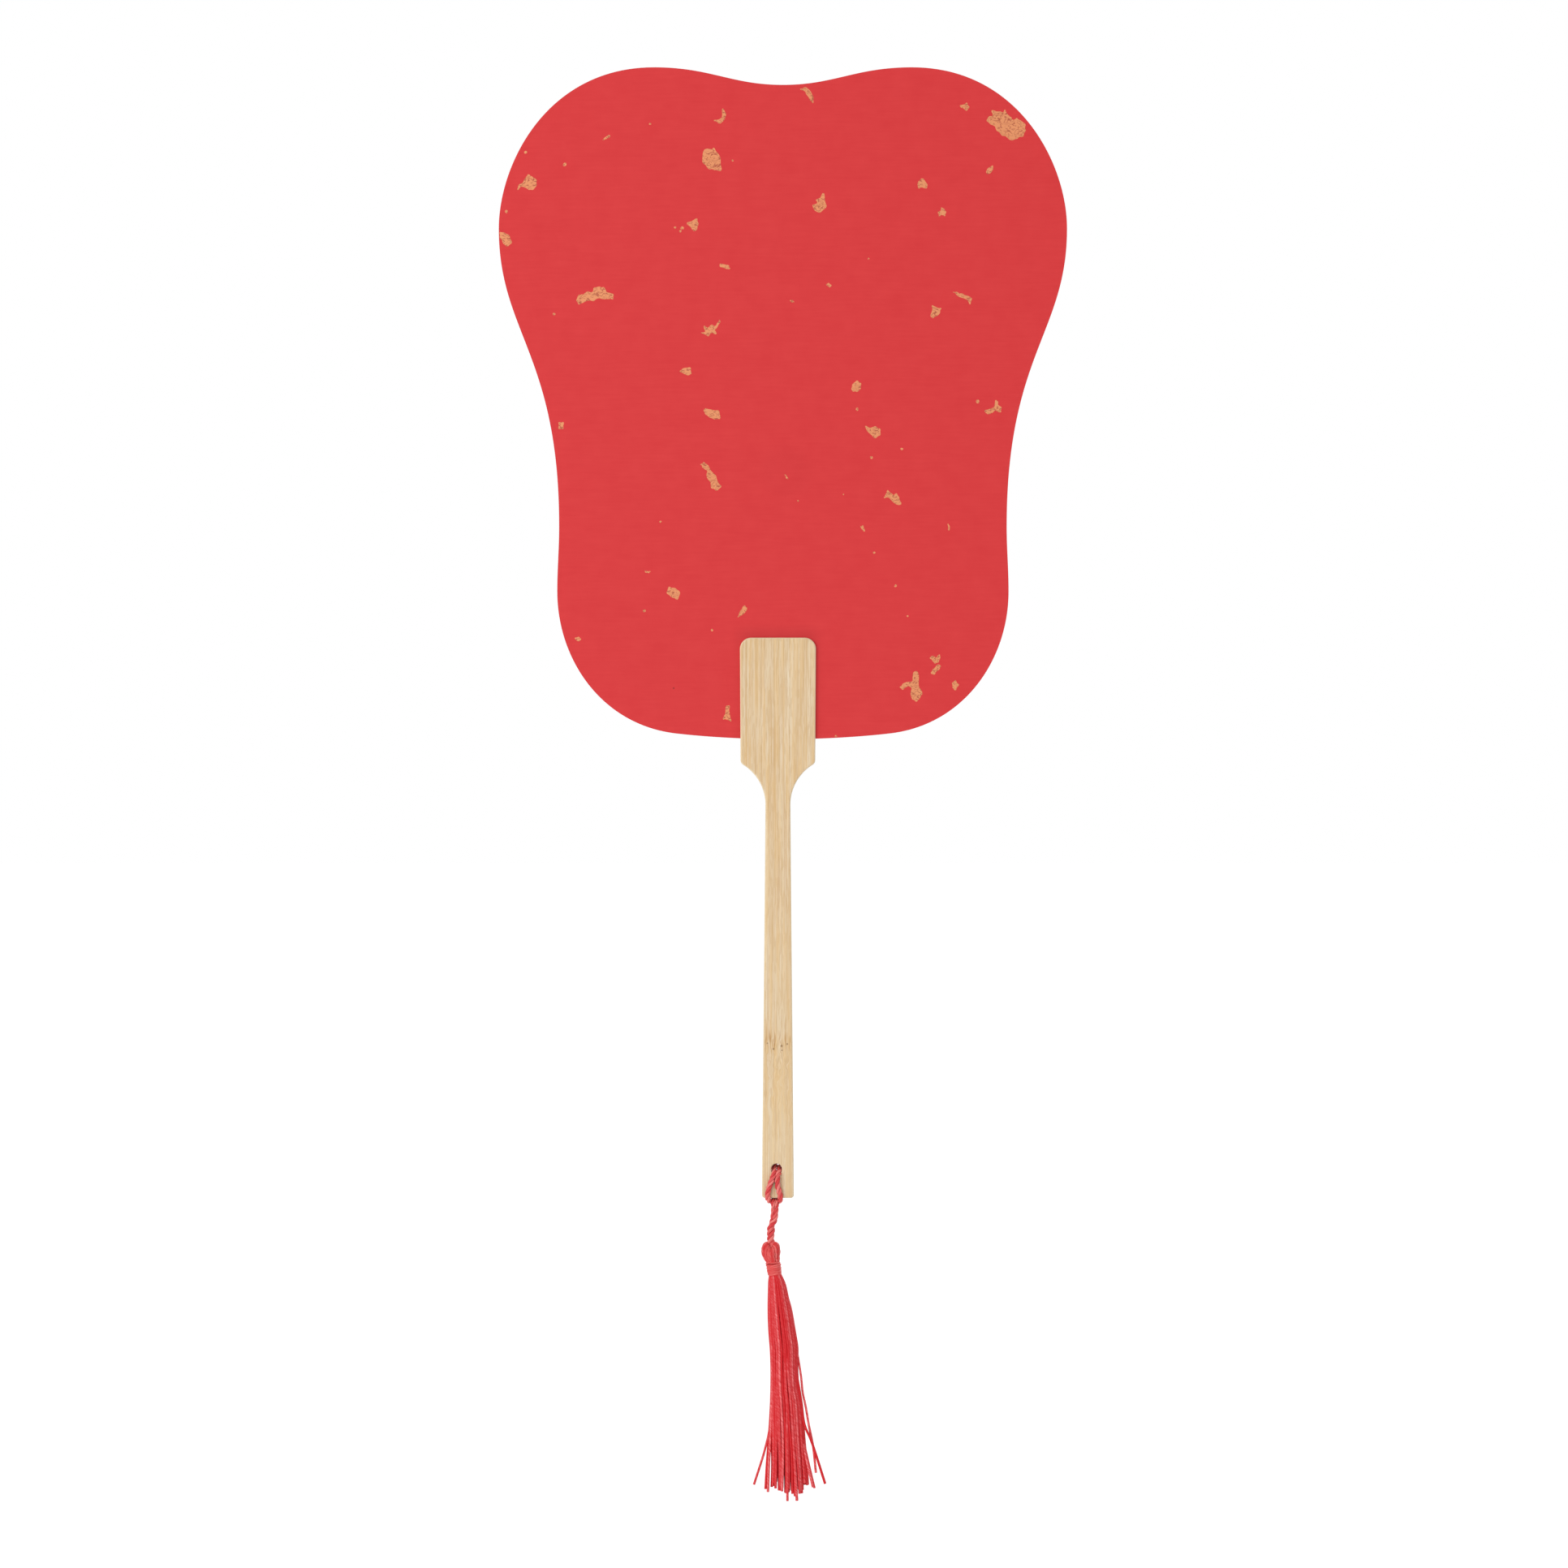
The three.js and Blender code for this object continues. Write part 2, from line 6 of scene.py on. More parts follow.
import bpy
import numpy as np
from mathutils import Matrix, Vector


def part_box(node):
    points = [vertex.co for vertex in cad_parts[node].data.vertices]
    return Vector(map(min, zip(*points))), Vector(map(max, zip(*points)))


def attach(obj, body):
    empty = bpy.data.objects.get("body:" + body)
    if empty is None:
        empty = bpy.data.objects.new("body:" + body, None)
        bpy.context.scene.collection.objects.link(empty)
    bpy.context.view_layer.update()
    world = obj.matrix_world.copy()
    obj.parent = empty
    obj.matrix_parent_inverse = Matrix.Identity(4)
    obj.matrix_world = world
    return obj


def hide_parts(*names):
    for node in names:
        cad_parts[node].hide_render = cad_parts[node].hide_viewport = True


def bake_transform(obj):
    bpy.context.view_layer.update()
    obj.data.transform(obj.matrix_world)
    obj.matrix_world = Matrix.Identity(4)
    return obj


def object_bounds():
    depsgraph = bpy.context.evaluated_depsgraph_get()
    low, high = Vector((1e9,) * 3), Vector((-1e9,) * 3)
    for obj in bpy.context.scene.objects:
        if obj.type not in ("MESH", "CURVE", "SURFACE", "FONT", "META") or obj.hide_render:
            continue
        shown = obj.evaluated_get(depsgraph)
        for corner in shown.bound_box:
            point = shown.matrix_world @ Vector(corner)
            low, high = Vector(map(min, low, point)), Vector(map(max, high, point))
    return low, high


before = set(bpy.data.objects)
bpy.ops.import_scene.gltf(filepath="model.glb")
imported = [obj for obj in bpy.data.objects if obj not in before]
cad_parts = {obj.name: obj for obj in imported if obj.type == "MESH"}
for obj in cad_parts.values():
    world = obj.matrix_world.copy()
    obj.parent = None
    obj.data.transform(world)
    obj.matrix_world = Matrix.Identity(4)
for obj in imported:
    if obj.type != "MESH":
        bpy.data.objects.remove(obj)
cad_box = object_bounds()

MM = 0.001

# The photograph's view, straight on to the front, and the stage round the fan.
PIXEL = 0.3 * MM  # what one pixel of the photograph spans on the fan
PHOTO_WIDTH = 1932  # in pixels
VIEW_WIDTH = PHOTO_WIDTH * PIXEL
VIEW_CENTRE = Vector((2.25, 0, 71.7)) * MM
LENS = 100
SENSOR = 36
FLOOR_BELOW = 40 * MM
FLOOR_SIZE = 30
FLOOR_GLOW = 0.88
AMBIENT = 0.62
LAMPS = {  # name: place, width and power in watts
    "key_lamp": ((-1.1, -1.68, 0.12), 1.4, 22.6),
    "back_lamp": ((1.2, 1.7, 1.1), 1.4, 24),
}

# Leaf, handle and slit: the sizes that the frame doesn't give. Leaf heights are from its lower edge.
LEAF_DIP = 6.5 * MM
LEAF_LOBE = 47.7 * MM
LEAF_WIDEST_HEIGHT = 188.7 * MM
LEAF_WAIST = 82.7 * MM
LEAF_WAIST_HEIGHT = 78.7 * MM
LEAF_BULGE = 83.4 * MM
LEAF_BULGE_HEIGHT = 54.6 * MM
LEAF_FLAT = 38.3 * MM
LEAF_FLAT_RISE = 2 * MM
CORNER_LIFT = 2.6 * MM  # how far above the flat the handle at the corner's lower end lies
# Shares of each stretch of the leaf's edge, across and up, that the handles at its start and end take up.
LEAF_HANDLES = [
    ((0.4, 0), (0.44, 0)),  # dip
    ((0.69, 0), (0, 0.4)),  # shoulder
    ((0, 0.35), (0, 0.58)),  # taper
    ((0, 0.35), (0, 0.35)),  # hollow
    ((0, 0.48), (0.63, CORNER_LIFT / (LEAF_BULGE_HEIGHT - LEAF_FLAT_RISE))),  # corner
    ((0.26, 0.57), (0.37, 0)),  # flat
]
PAPER_EDGE = 0.05 * MM
BOARD_EDGE = 0.15 * MM
STEM_LENGTH = 145.2 * MM
STEM_END_WIDTH = 11.8 * MM
STEM_NECK_WIDTH = 9.2 * MM
STEM_CORNER = 1.2 * MM
NECK_RADIUS = 17.4 * MM
SHOULDER_WIDTH = 27.6 * MM
PADDLE_CORNER = 4.2 * MM
SHOULDER_ROUNDING = 1.3 * MM
HANDLE_EDGE = 0.6 * MM
HOLE_RADIUS = 2 * MM
HOLE_INSET = 10.7 * MM
HOLE_OFFSET = -0.5 * MM
SLIT_CLEARANCE = 0.1 * MM
FLECK_THICKNESS = 0.02 * MM
EDGE_STEPS = 3  # how finely an edge is rounded
WELD_DISTANCE = 0.002 * MM
FACE_WEIGHT = 100  # how much more a large face counts than a small one where their normals meet
BLADE_SHARP = math.radians(35)  # faces that meet at more than this shade with a sharp edge
TUBE_SHARP = math.radians(70)
ROUNDING_PULL = 2 / 3  # how far the handles of a rounded corner reach towards the corner

# Cord: three plies wound round each other, doubled and hitched through the hole.
PLIES = 3
PLY_PITCH = 6.3 * MM
PLY_SHARE = 0.5  # a ply's radius as a share of its strand's
LANE_SHARE = 0.98  # the share of its lane of the UV map that a tube takes up
TOO_PARALLEL = 0.1  # a line closer to the Y axis than this is measured from the X axis
PAIR_TOP = -84.2 * MM
SLOW_LENGTH = 5.5 * MM  # the doubled cord hangs almost untwisted for this, then winds round itself
SLOW_TURN = 0.1
PAIR_PITCH = 9 * MM
PAIR_BOTTOM = -100.1 * MM
CORD_CUTS = (-87.5 * MM, -93.5 * MM)  # where one piece of the cord hands over to the next
# Depth from the front to the back in mm, and the share of its radius that a strand keeps there.
STRAND_SQUEEZE = [(-2, 1), (-0.5, 0.82), (1.5, 0.82), (2.4, 0.94)]
TIED_STEP = 0.3 * MM  # distances between the points of the hitch and of the hanging pair
PAIR_STEP = 0.25 * MM
KNOT_STEPS = 120
KNOT_WIDTH = 8  # the knot's whole width and the swing of its depth, in radii of its cord
KNOT_DEPTH = 1.2

# Tassel, in millimetres. Its shape is given by tables further on.
TASSEL_Y = -1.8
TASSEL_SEED = 11
PHASES = (0, 6)  # a wave starts somewhere between these, in radians
HEAD_THREADS = 44
HEAD_STEP = 0.3
HEAD_THREAD_RADIUS = 0.42
HEAD_RADIUS_SPREAD = (0.8, 1.15)
HEAD_THIN = 0.6  # the threads thin to this share between these radii of the head, towards its dimple
HEAD_THIN_RADII = (0.8, 2.4)
HEAD_PLACE_SPREAD = 0.15  # how far a thread lies off its even place, in spacings
HEAD_LEAN = 0.2  # how far it leans round the head, in radians
HEAD_REACH = (0.97, 1.02)  # how far out it lies, and how that waves along it, as shares of the radius
HEAD_WAVE = 0.03
HEAD_WAVE_RATE = 2.5  # in radians to the millimetre
HEAD_FRONT_DIP = 1.9  # the head opens a little towards the front, where the cord goes in
HEAD_DIP_POWER = 4  # the higher, the narrower the dip
HEAD_DIP_HEIGHTS = (-102, -99)
WRAP_RADIUS = 0.4
WRAP_STEPS = 30  # points and uneven places in each turn
WRAP_BUMPS = 5
WRAP_UNEVEN = 0.14
WRAP_SLANT = 0.3
SKIRT_RINGS = ((0.97, 40), (0.74, 30), (0.45, 20), (0.17, 7))  # share of the skirt's radius, threads
RING_SPREAD = 0.18  # how far a thread lies off its even place in its ring, in spacings
RING_DEPTH = (-0.04, 0.03)  # and how far in or out, as a share of the skirt's radius
SKIRT_SHAPE_STEP = 1
SKIRT_STEP = 0.9
THREAD_SPREAD = (0.88, 1.12)
SWAY = 0.1
SWAY_LENGTHS = (5, 9)  # how far a thread runs down for each radian of its sway
SWAY_HEIGHTS = (-125, -110)  # the sway is full at the lower height and ends at the upper one
SKIRT_END = -190.5
END_SPREAD = 2.6  # how far above its clump's end a thread may stop
CLUMP_START = -166  # below this height the threads gather into clumps
CLUMP_PULL = 0.4
CLUMP_SPREAD = 0.07
TIP_CLUMPS = {  # place across the skirt in half widths: height of the clump's end
    -0.8: -188, -0.46: -189.7, -0.13: -190.4, 0.22: -190.8, 0.57: -189.9, 0.9: -187.8,
}
NECK_DEPTH = 0.95  # the skirt's depth as a share of its width, at the neck and at the tips
TIP_DEPTH = 0.6


# Nodes and colours.
def linear(hex_colour):
    """An sRGB hex colour as the linear colour that a socket holds."""
    colour = []
    for start in (1, 3, 5):
        share = int(hex_colour[start:start + 2], 16) / 255
        colour.append(share / 12.92 if share <= 0.04045 else ((share + 0.055) / 1.055) ** 2.4)
    return [*colour, 1]


def output_of(source):
    """A node's first output that is in use. An output or a plain value stays as it is."""
    if isinstance(source, bpy.types.Node):
        return next(output for output in source.outputs if output.enabled)
    return source


def add(tree, kind, inputs=None, **settings):
    """Adds a node. Each input is a plain value, or the node or output that feeds it."""
    made = tree.nodes.new("ShaderNode" + kind)
    for name, value in settings.items():
        setattr(made, name, value)
    named = {socket.name: socket for socket in made.inputs if socket.enabled}
    for key, value in (inputs or {}).items():
        socket = named[key] if key in named else made.inputs[key]
        source = output_of(value)
        if isinstance(source, bpy.types.NodeSocket):
            tree.links.new(source, socket)
        else:
            socket.default_value = source
    return made


def start_material(name, constants):
    """A material of one principled shader, with the values that are the same all over it."""
    material = bpy.data.materials.new(name)
    material.use_nodes = True
    shader = material.node_tree.nodes["Principled BSDF"]
    for socket, value in constants.items():
        shader.inputs[socket].default_value = value
    return material, material.node_tree


def finish_material(material, colour, height=None, strength=0, depth=0):
    """Gives a material its colour, and where it has one a relief of the given strength and depth in mm."""
    tree = material.node_tree
    shader = tree.nodes["Principled BSDF"]
    tree.links.new(output_of(colour), shader.inputs["Base Color"])
    if height is not None:
        bump = add(tree, "Bump", {"Height": height, "Strength": strength, "Distance": depth * MM})
        tree.links.new(bump.outputs[0], shader.inputs["Normal"])
    return material


# Camera, floor and light.
def set_camera():
    distance = VIEW_WIDTH * LENS / SENSOR
    place = VIEW_CENTRE - Vector((0, distance, 0))
    bpy.ops.object.camera_add(location=place, rotation=(math.pi / 2, 0, 0))
    camera = bpy.context.object
    camera.data.lens = LENS
    camera.data.sensor_width = SENSOR
    bpy.context.scene.camera = camera


def seen_directly(tree):
    """1 for rays from the camera, from gloss and through glass, which see the plain white surroundings."""
    path = add(tree, "LightPath")
    seen = path.outputs["Is Camera Ray"]
    for ray in ("Is Glossy Ray", "Is Transmission Ray"):
        seen = add(tree, "Math", {0: seen, 1: path.outputs[ray]}, operation="MAXIMUM")
    return seen


def set_world():
    world = bpy.data.worlds.new("white_studio")
    world.use_nodes = True
    tree = world.node_tree
    tree.nodes.clear()
    strength = add(tree, "MapRange", {"Value": seen_directly(tree), "To Min": AMBIENT, "To Max": 1})
    sky = add(tree, "Background", {"Color": linear("#ffffff"), "Strength": strength})
    add(tree, "OutputWorld", {"Surface": sky})
    bpy.context.scene.world = world


def white_floor():
    """A white studio floor: it shows plain white where it is lit and keeps a pale shadow of the fan."""
    material = bpy.data.materials.new("white_painted_floor")
    material.use_nodes = True
    tree = material.node_tree
    tree.nodes.clear()
    bounce = add(tree, "BsdfDiffuse", {"Color": linear("#e8e8e8")})
    shade = add(tree, "BsdfDiffuse", {"Color": linear("#8a8a8a")})
    glow = add(tree, "Emission", {"Color": linear("#ffffff"), "Strength": FLOOR_GLOW})
    shown = add(tree, "AddShader", {0: shade, 1: glow})
    mixed = add(tree, "MixShader", {0: seen_directly(tree), 1: bounce, 2: shown})
    add(tree, "OutputMaterial", {"Surface": mixed})
    return material


def set_stage():
    bpy.ops.object.select_all(action="DESELECT")
    level = cad_box[0].z - FLOOR_BELOW
    bpy.ops.mesh.primitive_plane_add(size=FLOOR_SIZE, location=(0, 0, level))
    floor = bpy.context.object
    floor.name = "studio_floor"
    floor.data.materials.append(white_floor())
    for name, (place, width, power) in LAMPS.items():
        bpy.ops.object.light_add(type="AREA", location=place)
        lamp = bpy.context.object
        lamp.name = name
        lamp.data.size = width
        lamp.data.energy = power
        aim = VIEW_CENTRE - Vector(place)
        lamp.rotation_euler = aim.to_track_quat("-Z", "Y").to_euler()


# Sweeping cords and threads.
def smooth_line(chosen, step):
    """A smooth line through given points, with a point about every step along it."""
    points = [np.array(point, float) for point in chosen]
    points = [2 * points[0] - points[1], *points, 2 * points[-1] - points[-2]]
    line = []
    for before, start, end, after in zip(points, points[1:], points[2:], points[3:]):
        spans = [np.linalg.norm(b - a) ** 0.5 for a, b in ((before, start), (start, end), (end, after))]
        t0, t1, t2, t3 = np.cumsum([0, *spans])
        count = max(2, round(np.linalg.norm(end - start) / step))
        t = np.linspace(t1, t2, count, endpoint=False)[:, None]
        a = ((t1 - t) * before + (t - t0) * start) / (t1 - t0)
        b = ((t2 - t) * start + (t - t1) * end) / (t2 - t1)
        c = ((t3 - t) * end + (t - t2) * after) / (t3 - t2)
        d = ((t2 - t) * a + (t - t0) * b) / (t2 - t0)
        e = ((t3 - t) * b + (t - t1) * c) / (t3 - t1)
        line.append(((t2 - t) * d + (t - t1) * e) / (t2 - t1))
    return np.vstack([*line, points[-2]])


def lengths_along(points):
    return np.concatenate([[0], np.cumsum(np.linalg.norm(np.diff(points, axis=0), axis=1))])


def cross_directions(points):
    """Two directions across a line at each of its points, carried along it without turning."""
    tangents = np.gradient(points, axis=0)
    tangents /= np.linalg.norm(tangents, axis=1)[:, None]
    first = np.cross(tangents[0], (0, 1, 0))
    if np.linalg.norm(first) < TOO_PARALLEL:
        first = np.cross(tangents[0], (1, 0, 0))
    across = [first / np.linalg.norm(first)]
    for tangent in tangents[1:]:
        carried = across[-1] - tangent * (across[-1] @ tangent)
        across.append(carried / np.linalg.norm(carried))
    across = np.array(across)
    return across, np.cross(tangents, across)


def route_of(points, radii):
    """A tube's points, and at each its radius, the length along it and two directions across it."""
    return points, radii, lengths_along(points), *cross_directions(points)


def wound_plies(points, radii):
    """The routes of the plies that wind round a strand's centre line."""
    across, out = cross_directions(points)
    turn = 2 * math.pi * lengths_along(points) / PLY_PITCH
    routes = []
    for ply in range(PLIES):
        angle = turn + 2 * math.pi * ply / PLIES
        aside = np.cos(angle)[:, None] * across + np.sin(angle)[:, None] * out
        routes.append(route_of(points + aside * (radii * (1 - PLY_SHARE))[:, None], radii * PLY_SHARE))
    return routes


def sweep(name, routes, sides, lanes, material):
    """One mesh of closed tubes.

    The UV map's V is the length along a tube in mm. Its U counts the tubes in lanes, and runs round each
    in its lane.
    """
    vertices, faces, uvs = [], [], []
    around = (np.arange(sides) * 2 * math.pi / sides)[None, :, None]
    base = 0
    for index, (points, radii, along, across, out) in enumerate(routes):
        lane = index % lanes
        ring = across[:, None, :] * np.cos(around) + out[:, None, :] * np.sin(around)
        vertices.append((points[:, None, :] + ring * radii[:, None, None]).reshape(-1, 3))
        for station in range(len(points) - 1):
            low = base + station * sides
            for side in range(sides):
                following = (side + 1) % sides
                faces.append((low + side, low + following, low + following + sides, low + side + sides))
                left, right = [lane + LANE_SHARE * edge / sides for edge in (side, side + 1)]
                near, far = along[station] / MM, along[station + 1] / MM
                uvs += [(left, near), (right, near), (right, far), (left, far)]
        last = base + (len(points) - 1) * sides
        faces.append(tuple(range(base + sides - 1, base - 1, -1)))
        faces.append(tuple(range(last, last + sides)))
        uvs += [(lane, along[0] / MM)] * sides + [(lane, along[-1] / MM)] * sides
        base += len(points) * sides
    mesh = bpy.data.meshes.new(name)
    mesh.from_pydata(np.vstack(vertices).tolist(), [], faces)
    mesh.uv_layers.new(name="UVMap").data.foreach_set("uv", np.array(uvs, np.float32).ravel())
    mesh.shade_smooth()
    mesh.set_sharp_from_angle(angle=TUBE_SHARP)
    mesh.materials.append(material)
    piece = bpy.data.objects.new(name, mesh)
    bpy.context.scene.collection.objects.link(piece)
    return piece


# The cord's route in millimetres, from the hanging pair round the hitch and back.
def strand_up(stub_x, back_x, hole_x, top):
    """From the hanging pair under the handle's end, up its back and forward through the hole."""
    return [
        (stub_x, -1.8, -84.2), (stub_x, -1.8, -83.3), (stub_x, -1.2, -82.3), (stub_x, 0.4, -82),
        (stub_x, 2.1, -81.9), (stub_x, 2.9, -81), (stub_x, 2.95, -79.2), (back_x, 2.95, -76.5),
        (back_x, 2.95, top - 2.4), (back_x, 2.9, top - 0.8), (hole_x, 2.4, top), (hole_x, 1.4, top - 0.5),
        (hole_x, 0.2, -70.6), (hole_x, -1.1, -71.3),
    ]


LEFT_LEG = [
    (-1.55, -2.75, -72.7), (-2.25, -3, -74.4), (-3.2, -3, -77), (-3.7, -3, -79.4), (-3.75, -2.8, -80.9),
    (-3.35, -1.9, -82.1), (-2.6, -0.7, -82.8), (-1.9, 0.2, -83.2),
]
BIGHT = [(-1.2, 0.6, -83.35)]
RIGHT_LEG = [
    (-0.5, 0.2, -83.2), (0.1, -0.7, -82.8), (0.75, -1.9, -82.1), (0.9, -2.8, -80.9), (0.6, -3, -79),
    (-0.05, -3, -76.8), (-0.2, -3, -74.4), (0, -2.75, -72.7),
]
PAIR_MIDDLE = [  # the middle of the doubled cord, from the hitch down into the head
    (-1.07, TASSEL_Y, -83.2), (-1.15, TASSEL_Y, -85), (-1.3, TASSEL_Y, -87.25), (-1.6, TASSEL_Y, -89.3),
    (-2.2, TASSEL_Y, -90.9), (-2.58, TASSEL_Y, -93), (-2.65, TASSEL_Y, -95.5), (-2.6, TASSEL_Y, -97.4),
    (-2.5, TASSEL_Y, -100.4),
]
PAIR_HALF = [(-84.2, 0.62), (-88.5, 0.6), (-91, 0.3), (-97, 0.28), (-100.4, 0.28)]  # height, half spacing
STRAND_RADII = [  # height, radius
    (-98, 1.3), (-93, 1.3), (-91, 1.2), (-88.5, 0.95), (-86, 0.86), (-83.2, 0.88), (-81.6, 1.06),
]
MIDDLE_STEP = 0.1


def at_heights(table, heights):
    """The sizes in a table, which runs upwards or downwards by height, at the given heights."""
    rows = np.array(sorted(table)) * MM
    return [np.interp(heights, rows[:, 0], column) for column in rows.T[1:]]


def pair_strand(side):
    """One strand of the doubled cord, as points from the top down."""
    heights = np.linspace(PAIR_TOP, PAIR_BOTTOM, round((PAIR_TOP - PAIR_BOTTOM) / PAIR_STEP))
    middle = smooth_line([(z, x, y) for x, y, z in PAIR_MIDDLE], MIDDLE_STEP)
    x, y = at_heights(middle.tolist(), heights)
    half = at_heights(PAIR_HALF, heights)[0]
    depth = PAIR_TOP - heights
    slow = np.minimum(depth, SLOW_LENGTH) / SLOW_LENGTH * SLOW_TURN
    fast = np.maximum(depth - SLOW_LENGTH, 0) / PAIR_PITCH
    angle = -2 * math.pi * (slow + fast)
    return np.stack([x + side * half * np.cos(angle), y + side * half * np.sin(angle), heights], axis=1)


def strand_radii(points):
    """Strands are pressed thinner in the hole, drawn tight under the hitch and full towards the head."""
    full = at_heights(STRAND_RADII, points[:, 2])[0]
    depths, shares = zip(*STRAND_SQUEEZE)
    return full * np.interp(points[:, 1] / MM, depths, shares)


def cord_route():
    """The cord's centre line: from the head up the pair's left strand, round the hitch and back down."""
    half = PAIR_HALF[0][1]
    stub = PAIR_MIDDLE[0][0]
    left = strand_up(stub - half, back_x=-1.55, hole_x=-1.15, top=-69.1)
    right = strand_up(stub + half, back_x=0.55, hole_x=0.5, top=-69.75)[::-1]
    tied = smooth_line(np.array([*left, *LEFT_LEG, *BIGHT, *RIGHT_LEG, *right]) * MM, TIED_STEP)
    return np.vstack([pair_strand(-1)[:0:-1], tied, pair_strand(1)[1:]])


def cord_runs(route):
    """The runs of points of the hitch, the upper pair and the lower pair; a pair is two runs."""
    upper, lower = [int(np.argmax(route[:, 2] >= cut)) for cut in CORD_CUTS]
    last = len(route) - 1
    return [
        [slice(upper, last - upper + 1)],
        [slice(lower, upper + 1), slice(last - upper, last - lower + 1)],
        [slice(0, lower + 1), slice(last - lower, last + 1)],
    ]


def cut_cord(name, plies, runs, material):
    """One piece of the wound cord."""
    routes = [[column[run] for column in ply] for run in runs for ply in plies]
    return sweep(name, routes, sides=12, lanes=PLIES, material=material)


def make_knot(material):
    """The overhand knot inside the head that keeps the cord from pulling out."""
    low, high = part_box("cord_knot")
    middle = np.array((low + high) / 2)
    t = np.linspace(0, 2 * math.pi, KNOT_STEPS)
    x = np.sin(t) + 2 * np.sin(2 * t)
    y = np.cos(t) - 2 * np.cos(2 * t)
    z = -KNOT_DEPTH * np.sin(3 * t)
    radius = (high.x - low.x) / KNOT_WIDTH
    route = middle + np.stack([x, y, z], axis=1) * radius
    plies = wound_plies(route, np.full(len(t), radius))
    return sweep("cord_knot_tied", plies, sides=8, lanes=PLIES, material=material)


def make_cord():
    material = twisted_rayon_cord()
    route = cord_route()
    plies = wound_plies(route, strand_radii(route))
    runs = cord_runs(route)
    names = ("cord_hitch", "cord_upper_pair", "cord_lower_pair")
    hitch, upper, lower = [cut_cord(name, plies, run, material) for name, run in zip(names, runs)]
    knot = make_knot(material)
    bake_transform(hitch)
    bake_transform(upper)
    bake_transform(lower)
    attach(knot, "knot")
    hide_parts("hitch_loop")
    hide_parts("cord_upper_left", "cord_upper_right")
    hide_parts("cord_lower_left", "cord_lower_right")
    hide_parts("cord_knot")


# Tassel, in millimetres.
HEAD_THREAD = [  # height, middle and radius of a head thread, from the dimple over the top to the neck
    (-99.8, -2.5, 0.75), (-98.4, -2.5, 0.85), (-97.75, -2.5, 1.3), (-97.7, -2.5, 1.8), (-98.15, -2.55, 2.4),
    (-99.1, -2.6, 2.85), (-100.2, -2.65, 3.05), (-101.5, -2.65, 3.05), (-102.8, -2.5, 2.75),
    (-103.8, -2.25, 2.5), (-104.4, -2.05, 2.25), (-105, -1.9, 1.85), (-106, -1.7, 1.7), (-107.2, -1.5, 1.6),
]
WRAP_SHAPE = [  # turns wound so far, and there the height, middle and radius of the neck's binding
    (0, -105, -1.85, 2.3), (0.25, -105, -1.85, 2.35), (0.42, -104.65, -1.85, 2.4),
    (0.55, -104.95, -1.85, 2.4), (0.65, -105.25, -1.8, 2.4), (1.25, -105.7, -1.65, 2.35),
    (8, -109.5, -1.2, 2.2),
]
WRAP_TURNS = WRAP_SHAPE[-1][0]
SKIRT_SHAPE = [  # height, middle and half width of the skirt
    (-106, -1.55, 1.5), (-109.6, -0.95, 2.15), (-110.8, -0.75, 2.55), (-112.8, -0.4, 3.05),
    (-115.5, -0.1, 3.4), (-118.6, 0.2, 3.75), (-121, 0.55, 4.1), (-124.6, 0.95, 4.4), (-130.7, 1.6, 4.7),
    (-136.7, 2.25, 4.9), (-142.7, 2.25, 4.75), (-151.7, 2.55, 5.1), (-155, 2.95, 5.55), (-160.7, 3.3, 5.9),
    (-169.7, 3.75, 6.1), (-178.7, 4.1, 6.5), (-192, 4.2, 7.3),
]
THREAD_RADII = [  # height, radius
    (-106, 0.24), (-110, 0.28), (-118, 0.38), (-130, 0.44), (-160, 0.47), (-192, 0.5),
]
STRAYS = [  # threads that have sprung out of the skirt
    [
        (-1, -1.8, -112), (-1.8, -1.8, -135), (-2.2, -1.8, -152), (-2.9, -2.4, -165), (-4.95, -3, -174.3),
        (-8.85, -3.4, -186.7),
    ],
    [
        (-1.6, -2, -112), (-2.2, -2, -135), (-2.5, -2.2, -155), (-3.3, -2.6, -169), (-4, -2.8, -178),
        (-4.6, -3, -188.4),
    ],
    [
        (-1.4, -2.8, -112), (-2, -2.8, -135), (-2.2, -3, -155), (-2.8, -3.2, -169), (-3.3, -3.4, -178),
        (-3.7, -3.6, -189.4),
    ],
    [
        (0.6, -1.8, -112), (5.6, -1.8, -130), (7.75, -1.8, -142), (8.55, -1.8, -147.3), (9.15, -2, -153),
        (10.2, -2.2, -157.9), (11.35, -2.6, -164.6), (12.9, -2.9, -172.3), (14, -3.2, -182.4),
    ],
    [
        (0.6, -2.6, -112), (6.2, -2.8, -142), (8.6, -3.2, -156), (9.8, -3.6, -164.6), (12.1, -3.9, -170),
        (14.4, -4, -176.8), (17.4, -4, -186.3),
    ],
    [(0.4, -2, -112), (6, -2.4, -145), (8.6, -3, -166), (11, -3.4, -177.5), (13.5, -3.6, -188)],
    [(0.4, -2, -112), (6, -2.6, -145), (8.2, -3.4, -166), (10.4, -3.8, -177), (12.9, -4, -187.6)],
    [(0, -4, -114), (3, -5.6, -150), (3.4, -6, -175), (3.5, -6.2, -192.3)],
    [(0.5, -4, -114), (4.2, -5.6, -150), (6, -6, -175), (7, -6.2, -192.2)],
]


def ring_points(middle, radius, angle, height):
    """Points in metres at angles round the tassel's middle."""
    x = middle + radius * np.cos(angle)
    y = TASSEL_Y + radius * np.sin(angle)
    return np.stack([x, y, height], axis=1) * MM


